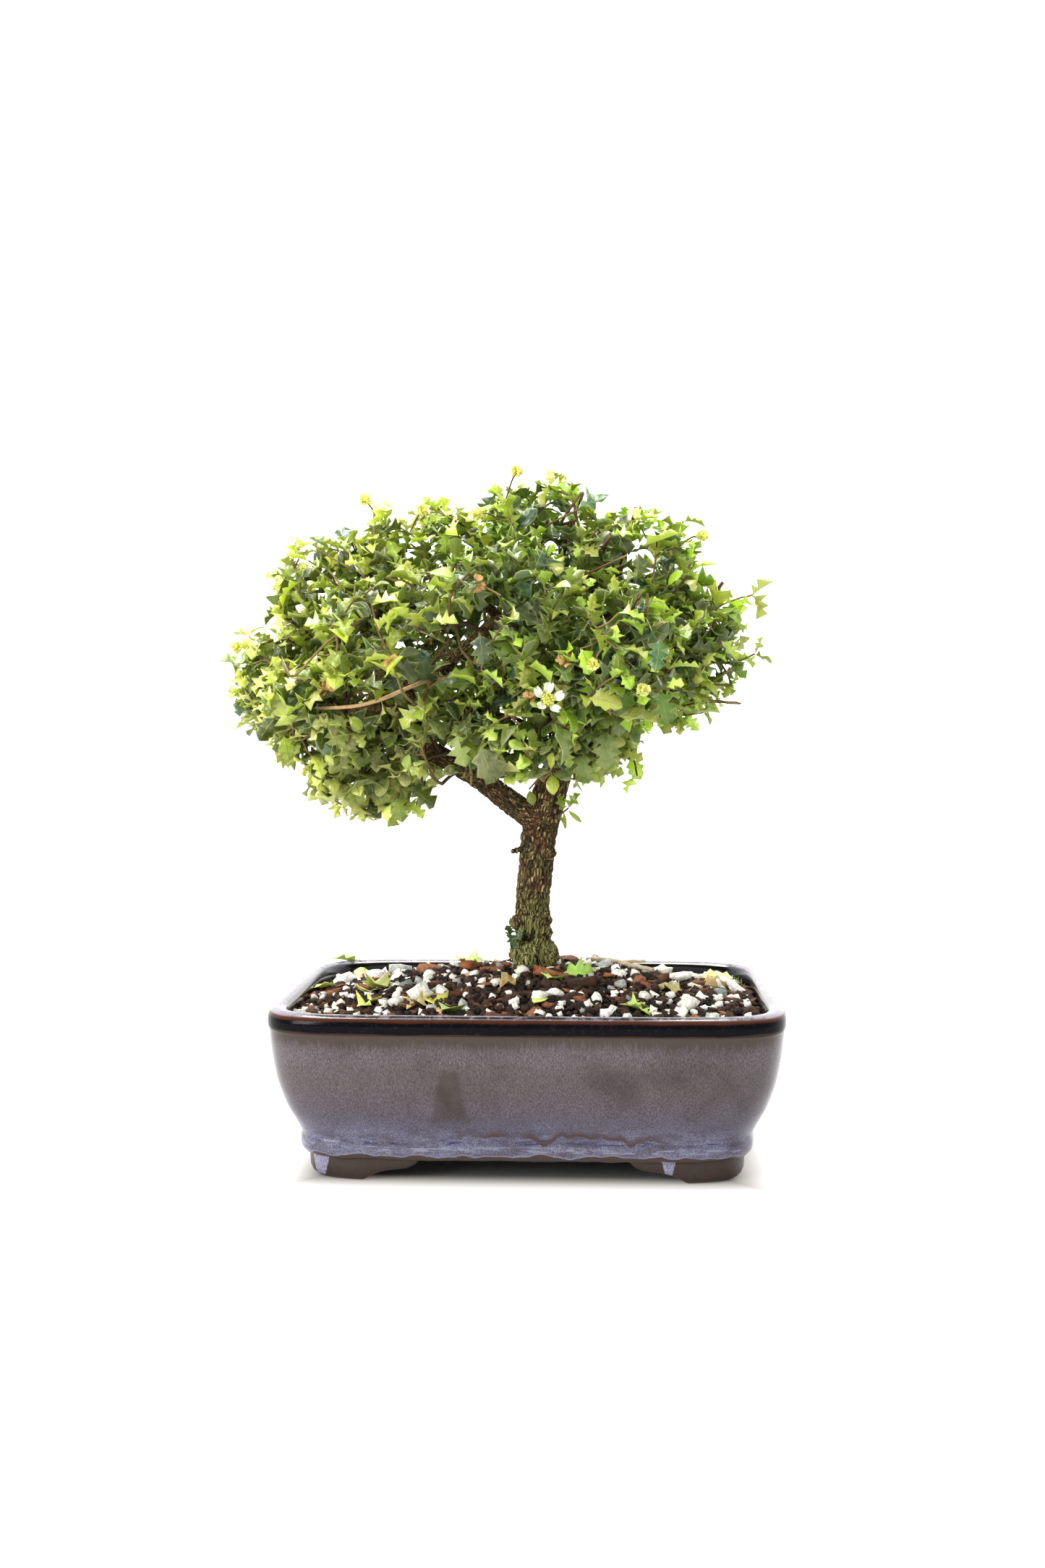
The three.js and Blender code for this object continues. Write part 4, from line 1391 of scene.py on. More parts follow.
LIMBS = {
    "trunk": Limb(
        (5, 8, 8.6, 7.9, 7.3, 7, 7.3, 7.2, 6.2, 5.4, 4.6, 3.6, 2.6),
        ((1, 10, 46), (1, 10, 62), (1, 10, 75), (0.8, 10, 83), (0.6, 10, 92), (0.8, 10, 108), (2.8, 10, 131),
         (6.2, 10.5, 146), (11, 11, 162), (16, 12, 181), (19, 12, 200), (16, 11, 222), (9, 9, 242))),
    "left": Limb(
        (5.2, 4.8, 4.4, 4, 3.4, 2.6),
        ((-13, 8, 150), (-25, 5, 159), (-44, 2, 170), (-69, 2, 184), (-90, 3, 194)), "trunk", 6.4),
    "left_bottom": Limb((2.6, 2), ((-59, -2, 167),), "left", 3),
    "left_front": Limb((2.6, 2.2, 1.8), ((-52, -16, 186), (-76, -29, 188)), "left", 3),
    "left_top": Limb((2.6, 2.2, 1.8), ((-72, 5, 206), (-80, 8, 224)), "left", 3.6),
    "left_middle": Limb((2.4, 2, 1.8), ((-49, -20, 192), (-54, -34, 204)), "left", 3),
    "left_back": Limb((2.6, 2.2, 1.8), ((-54, 26, 188), (-62, 42, 198)), "left", 3),
    "low_middle": Limb((2.4, 1.8), ((-30, -12, 169),), "left", 2),
    "crown_left": Limb((2.8, 2.4, 2), ((-1, 11, 216), (-30, 10, 241)), "trunk", 10),
    "centre_front": Limb((3, 2.5, 2), ((-37, -16, 201), (-14, -38, 224)), "left", 3),
    "centre_low": Limb((2.6, 2), ((2, -18, 177),), "trunk", 8),
    "centre_back": Limb((2.8, 2.3, 1.9), ((4, 34, 200), (-3, 48, 213)), "trunk", 9),
    "right_top": Limb((2.8, 2.2), ((36, 7, 232),), "trunk", 10),
    "right_front": Limb((2.8, 2.3, 1.9), ((26, -14, 194), (32, -34, 204)), "trunk", 9),
    "right_side": Limb((3, 2.5, 2), ((42, 9, 194), (58, 6, 205)), "trunk", 9),
    "right_low": Limb((2.6, 2), ((21, 1, 173),), "trunk", 8),
    "right_back": Limb((2.8, 2.3, 1.9), ((31, 32, 196), (40, 44, 204)), "trunk", 9),
    "cut_top": Limb((1.7, 1.2), ((22, 5, 281),), "trunk", 12),
    "cut_upper_right": Limb((1.5, 1.1), ((45, 2, 274),), "right_top", 0.8),
    "cut_front": Limb((1.4, 1.1), ((45, -74, 232),), "right_front", 1.8),
    "cut_right": Limb((1.4, 1), ((82, 2, 242),), "right_side", 1.9),
    "dead_right": Limb((1.3, 0.8), ((90, -2, 190),), "right_side", 1),
}


def middle_line(name: str) -> list[Vector]:
    """The points that a limb goes through, from its start on the limb that it grew from.

    Args:
        name: The limb.

    Returns:
        Its points.
    """
    limb = LIMBS[name]
    start = [on_line(middle_line(limb.parent), limb.place)] if limb.parent else []
    return start + [Vector(point) for point in limb.points]


def limb_samples(name: str, step: float) -> Line:
    """A limb's middle line in even steps, each point with the limb's radius there.

    Args:
        name: The limb.
        step: The length of a step.

    Returns:
        The points with their radii.
    """
    points = middle_line(name)
    last = len(points) - 1
    count = max(3, round(sum((b - a).length for a, b in zip(points, points[1:])) / step))
    places = [last * k / count for k in range(count + 1)]
    return [(on_line(points, place), float(np.interp(place, range(last + 1), LIMBS[name].radii)))
            for place in places]


@dataclass
class Wood:
    """The wood that grew as one piece, with its cracked bark, knobs, scars and roots."""

    voxel: float = 0.61
    step: float = 2.5
    roots: int = 4
    softenings: int = 5
    crack_width: float = 1.2
    crack_length: float = 9
    crack_depth: float = 0.8
    # Given back after the forks are softened
    girth: float = 0.6
    # Limbs painted pale as bare wood; the dead one is bare, and on the other the pale partly stands for light
    bare_limbs: tuple[str, ...] = ("left_front", "dead_right")
    # Knobs and pruned stubs on the trunk: foot, tip, and radii at both
    knobs: tuple[tuple[Place, Place, float, float], ...] = (
        ((-4, 7, 94.5), (-8.3, 4.5, 95.5), 3.4, 2), ((4, 7, 95), (8, 5, 97.5), 3.2, 1.8),
        ((5, 7, 90), (8.8, 5, 91), 2.4, 1.4), ((-3, 7, 127), (-8.6, 4.5, 126), 1, 0.7),
        ((5, 7, 124), (9, 3.6, 126.5), 3.2, 2.2), ((1, 14, 112), (2, 18.5, 115), 3, 2),
        ((-4, 12, 84), (-8, 14, 78), 3.8, 2.4), ((6, 6, 82), (9, 3, 77), 3.4, 2),
        ((0, 4, 84), (-2, -1, 77), 3.8, 2.4), ((6, 13, 84), (10, 16, 77), 3.8, 2.4))

    def root(self, number: int) -> Line:
        """One root, from the trunk's foot out into the soil.

        Args:
            number: The root's number in the ring of roots.

        Returns:
            Its points with their radii.
        """
        rng = random.Random(70 + number)
        turn = (number + 0.4 * rng.random()) / self.roots * FULL_TURN
        reach = rng.uniform(38, 50)
        way = Vector((math.cos(turn) * reach * 1.25, math.sin(turn) * reach * 0.85, 0))
        line = []
        for step in range(9):
            place = TRUNK_FOOT + way * (0.05 + 0.95 * step / 8) + UP * (69 - 33 * (step / 8) ** 0.8)
            line.append((place, 5 - 3.8 * step / 8))
        return line

    def build(self) -> bpy.types.Mesh:
        """Joins every limb to one skin, softens the forks, and cracks the bark.

        Returns:
            The closed mesh, with its natures.
        """
        lines = [limb_samples(name, self.step) for name in LIMBS]
        lines += [self.root(number) for number in range(self.roots)]
        samples = [sample for line in lines for sample in line]
        names = [name for name, line in zip(LIMBS, lines) for _ in line]
        ways = [(line[min(k + 1, len(line) - 1)][0] - line[max(k - 1, 0)][0]).normalized()
                for line in lines for k in range(len(line))]
        knobs = [[(Vector(foot), r1), (Vector(foot).lerp(Vector(tip), 0.7), (r1 + r2) / 2), (Vector(tip), r2)]
                 for foot, tip, r1, r2 in self.knobs]
        bm = bmesh_of(modified(tubes(lines + knobs, 5), "REMESH", mode="VOXEL", voxel_size=self.voxel))
        for _ in range(self.softenings):
            bmesh.ops.smooth_vert(bm, verts=bm.verts, factor=0.5, use_axis_x=True, use_axis_y=True, use_axis_z=True)
        bm.normal_update()

        near = search_tree([place for place, _ in samples])
        reliefs, thicks, bares, fibres = [], [], [], []
        for vertex in bm.verts:
            index = near.find(vertex.co)[1]
            radius = samples[index][1]
            fibre = self.fibre(vertex.co, ways[index], radius)
            relief = self.relief(fibre)
            depth = self.crack_depth * smooth_share(radius, 0.6, 6.5)
            swell = 0.5 * noise.noise(vertex.co * 0.09) * smooth_share(radius, 2, 7)
            vertex.co += vertex.normal * ((relief - 0.6) * depth + swell + self.girth * smooth_share(radius, 2, 7))
            reliefs.append(relief)
            thicks.append(radius)
            bares.append(float(index < len(names) and names[index] in self.bare_limbs))
            fibres.extend(fibre)
        mesh = mesh_of(bm, 180)
        for name, values in (("relief", reliefs), ("thick", thicks), ("bare", bares)):
            add_nature(mesh, name, values)
        mesh.attributes.new("fibre", "FLOAT_VECTOR", "POINT").data.foreach_set("vector", fibres)
        return mesh

    def fibre(self, place: Vector, way: Vector, radius: float) -> Vector:
        """Draws the bark's pattern together along the limb, so that its cracks become long.

        Args:
            place: The point.
            way: Where the limb runs there.
            radius: The limb's radius there. Thin limbs have finer cracks.

        Returns:
            The place in the pattern, in crack widths.
        """
        width = self.crack_width * (0.55 + 0.45 * smooth_share(radius, 1.5, 7))
        drawn = place / width + way * place.dot(way) * (1 / self.crack_length - 1 / width)
        return drawn + noise.noise_vector(place * 0.25) * 0.5

    def relief(self, fibre: Vector) -> float:
        """Height of the bark from 0 in a crack to 1 on a plate.

        Args:
            fibre: A place that is drawn together along the limb.

        Returns:
            The height.
        """
        near, further = noise.voronoi(fibre)[0][:2]
        plate = smooth_share(further - near, 0.03, 0.42)
        return min(1.0, max(0.0, plate * 0.8 + 0.25 * noise.noise(fibre * 2.3) + 0.12))

    def add_to(self, bonsai: Bonsai) -> None:
        """Adds the wood."""
        bonsai.add("tree_bark", self.build(), "tree_bark", "bark", "tree_wood")


# Leaves


class LeafForm(Enum):
    """The outline of a blade: pairs of how far along a place is and how wide the blade is there, on each side."""

    SPINY = ((0, 0.012), (0.13, 0.06), (0.31, 0.4), (0.45, 0.16), (0.64, 0.46), (0.76, 0.17), (0.93, 0.32),
             (1.2, 0.004))
    BROAD = ((0, 0.012), (0.12, 0.06), (0.3, 0.38), (0.44, 0.27), (0.62, 0.43), (0.75, 0.27), (0.9, 0.3),
             (1.12, 0.004))
    ENTIRE = ((0, 0.012), (0.12, 0.02), (0.28, 0.18), (0.48, 0.28), (0.68, 0.29), (0.86, 0.2), (0.97, 0.08),
              (1.0, 0.01))

    @cache
    def shape(self) -> Shape:
        """Makes the flat blade, one long, as a closed slab.

        Returns:
            The template.
        """
        last = len(self.value) - 1
        bm = bmesh.new()
        bmesh.ops.create_grid(bm, x_segments=last, y_segments=2, size=1)
        for vertex in bm.verts:
            along, width = self.value[round((vertex.co.x + 1) / 2 * last)]
            side = round(vertex.co.y)
            vertex.co = (along if side else along * 0.97, side * width, 0)
        slab(bm, 0.02)
        shape = Shape.take(bm)
        x, y, _ = shape.points.T
        shape.map = np.column_stack([x, y / np.maximum(np.interp(x, *zip(*self.value)), 0.01)])
        return shape


@dataclass(frozen=True)
class Bend:
    """How a blade is bent out of its plane."""

    fold: float
    droop: float
    twist: float
    wave: float
    phase: float

    @classmethod
    def draw(cls, rng: random.Random, form: LeafForm) -> "Bend":
        """Draws the bends of a leaf. An entire leaf is flatter than a spiny one.

        Args:
            rng: The random numbers.
            form: The leaf's form.

        Returns:
            The bends.
        """
        flat = 0.5 if form is LeafForm.ENTIRE else 1
        return cls(flat * rng.uniform(0.1, 0.9), rng.uniform(-0.4, 1.3), rng.gauss(0, 0.45),
                   flat * rng.uniform(0.08, 0.26), rng.uniform(0, FULL_TURN))

    def of(self, flat: np.ndarray) -> np.ndarray:
        """Bends the points of a flat blade: a fold along the rib, spines up and down, a droop and a twist.

        Args:
            flat: The points of the blade.

        Returns:
            The points of the bent leaf.
        """
        x, y, z = flat.T
        side = np.abs(y)
        curl = self.wave * (side / 0.38) ** 2 * np.cos((x - 0.37) * 11.2 + self.phase + (y > 0) * 1.3)
        z = z + self.fold * side + curl
        turn = self.twist * x
        y, z = y * np.cos(turn) - z * np.sin(turn), y * np.sin(turn) + z * np.cos(turn)
        arc = self.droop * x
        radius = 1 / self.droop if abs(self.droop) > 1e-3 else 1e3
        return np.column_stack([(radius + z) * np.sin(arc), y, (radius + z) * np.cos(arc) - radius])


class Foliage(Stamps):
    """Leaves that are gathered for one piece."""

    def __init__(self) -> None:
        """Starts without leaves."""
        super().__init__("age", "tint", "dust")

    def leaf(self, form: LeafForm, length: float, bend: Bend, matrix: Matrix, nature: Sequence[float]) -> None:
        """Adds a leaf.

        Args:
            form: Its outline.
            length: From foot to tip.
            bend: How it is bent.
            matrix: Where its foot is and where it points.
            nature: Its age, tint and dust, from 0 to 1. In the crown, age and dust carry painted light too.
        """
        self.add(form.shape(), matrix, nature, points=bend.of(form.shape().points) * length)


# The crown


@dataclass(frozen=True)
class Spray:
    """A leafy part of the crown: its middle, its half size out to the leaf tips, and the limb that bears it."""

    name: str
    middle: Vector
    half: Vector
    limb: str

    def depth(self, point: Vector) -> float:
        """How far out a point is: 0 at the middle and 1 where the leaves end."""
        away = point - self.middle
        return Vector((away.x / self.half.x, away.y / self.half.y, away.z / self.half.z)).length

    def stretched(self, way: Vector) -> Vector:
        """A way from the middle of a ball of radius 1, stretched as the spray is."""
        return Vector((self.half.x * way.x, self.half.y * way.y, self.half.z * way.z))


# The limb of its own name bears a spray unless another is given
SPRAYS = [Spray(name, Vector(middle), Vector(half), *limb or (name,)) for name, middle, half, *limb in (
    ("left_tip", (-106, 5, 199), (26, 32, 25), "left"),
    ("left_bottom", (-68, -2, 165), (33, 34, 26)),
    ("left_front", (-86, -36, 187), (28, 28, 26)),
    ("left_top", (-84, 8, 236), (32, 36, 29)),
    ("left_middle", (-54, -46, 214), (35, 32, 32)),
    ("left_back", (-66, 54, 206), (38, 33, 34)),
    ("low_middle", (-33, -22, 177), (28, 29, 27)),
    ("crown_left", (-44, 10, 251), (38, 40, 30)),
    ("crown_top", (4, 8, 258), (36, 40, 32), "trunk"),
    ("centre_front", (-10, -50, 228), (35, 32, 33)),
    ("centre_low", (-4, -34, 182), (30, 30, 30)),
    ("centre_back", (-8, 58, 222), (40, 33, 35)),
    ("right_top", (43, 5, 244), (35, 38, 31)),
    ("right_front", (34, -44, 210), (34, 32, 34)),
    ("right_side", (64, 5, 212), (29, 34, 33)),
    ("right_low", (23, -6, 181), (27, 29, 27)),
    ("right_back", (46, 54, 210), (36, 32, 33)))]


@dataclass
class Twig:
    """A thin shoot: its middle points from its foot, how many shoots hang on it at each, and how it thrives."""

    points: list[Vector]
    load: list[int]
    young: bool
    vigour: float = 1
    youth: float = 0


@dataclass
class TwigSystem:
    """The twigs of one spray. Each new one grows from the nearest wood to a place that needs leaves."""

    spray: Spray
    tips: int = 36
    outer: Range = (0.72, 0.9)
    step: float = 4
    detour: float = 0.3

    def borders(self) -> list[tuple[Vector, float]]:
        """Where the spray meets the others: the way across each border, and how far along it the border lies.

        Returns:
            A direction and a distance for each border.
        """
        found = []
        for other in SPRAYS:
            if other is not self.spray:
                across = other.middle - self.spray.middle
                distance = across.length
                across.normalize()
                reach = self.spray.stretched(across).length
                share = reach / (reach + other.stretched(across).length)
                found.append((across, self.spray.middle.dot(across) + distance * share))
        return found

    def targets(self, rng: random.Random) -> list[Vector]:
        """Where the twigs end, evenly spread just inside the spray's outside and inside its borders.

        Args:
            rng: The random numbers.

        Returns:
            The places.
        """
        borders = self.borders()
        found = []
        for number in range(self.tips):
            z = 1 - 2 * (number + 0.5) / self.tips
            turn = number * GOLDEN_TURN + rng.uniform(-0.3, 0.3)
            flat = math.sqrt(1 - z * z)
            way = Vector((flat * math.cos(turn) * self.spray.half.x, flat * math.sin(turn) * self.spray.half.y,
                          z * self.spray.half.z))
            reach = rng.uniform(*self.outer)
            for across, far in borders:
                toward = way.dot(across)
                if toward > 1e-6:
                    reach = min(reach, (far - 3 - self.spray.middle.dot(across)) / toward)
            if reach > 0.52 or (reach > 0.3 and rng.random() < 0.5):
                found.append(self.spray.middle + way * reach)
        return found

    def grow(self, rng: random.Random, young_ends: Sequence[Vector]) -> list[Twig]:
        """Grows the twigs.

        Args:
            rng: The random numbers.
            young_ends: Ends of long pale shoots, grown last.

        Returns:
            The twigs, each with the load that it bears.
        """
        limb = [place for place, _ in limb_samples(self.spray.limb, self.step)]
        nodes = [place for place in limb if self.spray.depth(place) < 1.05] or limb[-1:]
        hub = nodes[-1]
        path = [0.0] * len(nodes)
        parents = [-1] * len(nodes)
        ways = [(limb[-1] - limb[-2]).normalized()] * len(nodes)
        spans: list[tuple[list[int], bool]] = []
        ends = sorted(self.targets(rng), key=lambda tip: (tip - hub).length)
        for young, tip in [(False, end) for end in ends] + [(True, end) for end in young_ends]:
            reach = (tip - hub).length
            usable = [k for k in range(len(nodes)) if (nodes[k] - hub).length < max(reach - 3, 1)] or [0]
            base = min(usable, key=lambda k: (nodes[k] - tip).length + self.detour * path[k])
            start = nodes[base]
            length = (tip - start).length
            control = start + (ways[base] * 0.25 + (tip - start).normalized() * 0.75 + UP * 0.1) * length * 0.45
            control += direction(rng) * length * 0.07
            steps = max(2, round(length / self.step))
            span = [base]
            for number in range(1, steps + 1):
                share = number / steps
                point = start * (1 - share) ** 2 + control * 2 * share * (1 - share) + tip * share**2
                point += direction(rng) * (0.22 if number < steps else 0)
                stride = point - nodes[span[-1]]
                ways.append(stride.normalized())
                path.append(path[span[-1]] + stride.length)
                parents.append(span[-1])
                span.append(len(nodes))
                nodes.append(point)
            spans.append((span, young))
        load = [0] * len(nodes)
        for span, _ in spans:
            load[span[-1]] += 1
        for node in range(len(nodes) - 1, -1, -1):
            if parents[node] >= 0:
                load[parents[node]] += load[node]
        return [Twig([nodes[k] for k in span], [load[k] for k in (span[1], *span[1:])], young)
                for span, young in spans]


@dataclass(frozen=True)
class MarkedLeaf:
    """A leaf that shows well in the photograph."""

    foot: Vector
    tip: Vector
    form: LeafForm
    age: float
    dust: float

    @classmethod
    def of(cls, form: LeafForm, row: Sequence[float]) -> "MarkedLeaf":
        """Makes one whose tip stands a little forward.

        Args:
            form: Its outline.
            row: X and Z of its foot and of its tip, its depth, its age and its dust.

        Returns:
            The leaf.
        """
        foot_x, foot_z, tip_x, tip_z, depth, age, dust = row
        depth = max(depth, -76)
        return cls(Vector((foot_x, depth + 1, foot_z)), Vector((tip_x, depth - 2, tip_z)), form, age, dust)


MARKED_LEAVES = [MarkedLeaf.of(form, row) for form, rows in {
    LeafForm.SPINY: (
        (-96, 241, -108, 235, -21, 0.15, 0), (-36, 221, -25, 222, -73, 0.1, 0), (-59, 228, -49, 232, -73, 0.3, 0.1),
        (-77, 221, -87, 223, -62, 0.4, 0), (-82, 209, -73, 201, -66, 0.3, 0), (-11, 222, -1, 216, -80, 0.9, 0.5),
        (-17, 217, -15, 204, -75, 0.95, 0.3), (-27, 230, -18, 228, -79, 0.3, 0.2),
        (-67, 237, -59, 241, -62, 0.35, 0), (-40, 218, -30, 213, -72, 0.85, 0.5), (45, 251, 46, 238, -32, 0.92, 0.5),
        (43, 266, 53, 269, -17, 0.15, 0), (21, 255, 29, 250, -24, 0.1, 0), (39, 211, 49, 210, -74, 0.1, 0),
        (26, 219, 32, 211, -74, 0.35, 0), (83, 228, 92, 222, -8, 0.6, 0), (80, 216, 87, 208, -19, 0.3, 0),
        (84, 205, 92, 203, -9, 0.7, 0), (53, 258, 59, 263, -22, 0.15, 0), (37, 225, 48, 225, -71, 0.3, 0.1),
        (37, 222, 48, 221, -72, 0.4, 0.1), (53, 215, 51, 202, -70, 0.95, 0.2), (65, 268, 75, 269, 4, 0.3, 0),
        (68, 247, 78, 249, -12, 0.2, 0), (8, 281, 18, 279, -18, 0.5, 0), (21, 255, 28, 261, -24, 0.75, 0.2),
        (-28, 178, -25, 164, -49, 0.55, 0.7), (-51, 155, -38, 148, -18, 0.8, 0.2),
        (-53, 147, -44, 144, -11, 0.08, 0), (-56, 151, -53, 140, -19, 0.5, 0.1), (-87, 169, -79, 162, -50, 0.12, 0),
        (-97, 177, -94, 167, -56, 0.5, 0), (-116, 185, -126, 179, -8, 0.1, 0), (-84, 205, -74, 203, -65, 0.2, 0),
        (-17, 203, -7, 198, -65, 0.3, 0.1), (33, 179, 32, 162, -30, 0.65, 0.95), (53, 195, 57, 181, -56, 0.75, 0),
        (39, 169, 48, 168, -17, 0.15, 0), (23, 170, 22, 156, -26, 0.6, 0.8), (62, 198, 75, 190, -21, 0.35, 0),
        (67, 199, 80, 198, -23, 0.3, 0)),
    LeafForm.BROAD: (
        (-62, 206, -50, 209, -76, 0.2, 0), (-55, 240, -39, 242, -60, 0.4, 0.1), (-93, 250, -103, 253, -17, 0.18, 0),
        (-76, 219, -68, 213, -72, 0.2, 0), (-49, 256, -41, 259, -28, 0.25, 0), (47, 255, 63, 260, -25, 0.08, 0),
        (22, 211, 28, 201, -74, 0.2, 0), (1, 205, 13, 201, -61, 0.15, 0), (48, 228, 58, 227, -63, 0.3, 0),
        (-18, 173, -12, 156, -54, 0.85, 0.7), (-31, 200, -18, 203, -63, 0.3, 0.1),
        (-40, 184, -30, 177, -50, 0.6, 0.7), (12, 182, 20, 164, -54, 0.7, 0.95), (37, 185, 54, 185, -61, 0.15, 0.2),
        (42, 166, 48, 157, 4, 0.15, 0), (25, 192, 40, 190, -69, 0.15, 0.2)),
    LeafForm.ENTIRE: (
        (-54, 200, -45, 210, -75, 0.15, 0), (-38, 241, -25, 240, -71, 0.4, 0.1), (-60, 235, -52, 239, -67, 0.5, 0.1),
        (-36, 202, -29, 209, -69, 0.85, 0.5), (62, 255, 69, 255, -19, 0.85, 0.4), (31, 245, 39, 244, -31, 0.08, 0),
        (57, 238, 64, 246, -26, 0.3, 0), (11, 235, 20, 235, -69, 0.1, 0), (-80, 181, -71, 185, -61, 0.5, 0),
        (-71, 185, -64, 179, -56, 0.45, 0), (-53, 178, -59, 171, -36, 0.6, 0), (-50, 180, -40, 179, -47, 0.65, 0.1),
        (-27, 182, -31, 193, -48, 0.9, 0), (-2, 182, -14, 173, -63, 0.75, 0.9), (-25, 162, -36, 162, -45, 0.8, 0.7),
        (-58, 148, -63, 140, -17, 0.05, 0), (-48, 170, -50, 162, -41, 0.5, 0.4), (-81, 160, -80, 151, -30, 0.15, 0),
        (-87, 163, -89, 154, -26, 0.1, 0), (-76, 152, -64, 162, -33, 0.75, 0.6), (10, 163, 11, 172, -54, 0.25, 0),
        (10, 162, 11, 151, -43, 0.2, 0), (10, 163, -1, 160, -53, 0.8, 0.7), (10, 162, 20, 159, -45, 0.8, 0.7),
        (11, 173, 5, 169, -58, 0.6, 0.6), (42, 181, 46, 172, -22, 0.8, 0.7), (15, 188, 24, 178, -57, 0.55, 0),
        (-1, 153, 1, 145, 4, 0.4, 0.3)),
}.items() for row in rows]


class View:
    """The photograph's view, and the lines in it that no leaf may hide."""

    def __init__(self) -> None:
        """Starts without lines."""
        self.eye = Vector(CAMERA_PLACE)
        self.lines: list[tuple[np.ndarray, np.ndarray, float, float]] = []

    def seen(self, point: Vector) -> np.ndarray:
        """Where a point shows in the photograph, in millimetres on the upright plane through the trunk.

        Args:
            point: A place in the scene.

        Returns:
            Its place on that plane.
        """
        away = point - self.eye
        share = (TRUNK_FOOT.y - self.eye.y) / away.y
        return np.array([self.eye.x + away.x * share, self.eye.z + away.z * share])

    def keep(self, points: Sequence[Sequence[float]], radius: float) -> None:
        """Keeps the leaves of the sprays from standing in front of a line.

        Args:
            points: What it runs through.
            radius: How near to it they may stand.
        """
        for start, end in zip(map(Vector, points), map(Vector, points[1:])):
            self.lines.append((self.seen(start), self.seen(end), (start.y + end.y) / 2 + 3, radius))

    def hides(self, point: Vector) -> bool:
        """Whether a leaf there would hide something that shows in the photograph.

        Args:
            point: The leaf's middle.

        Returns:
            Whether it would.
        """
        here = self.seen(point)
        for start, end, depth, radius in self.lines:
            if point.y < depth:
                way = end - start
                share = min(1, max(0, float((here - start) @ way) / float(way @ way)))
                if np.linalg.norm(here - start - way * share) < radius:
                    return True
        return False


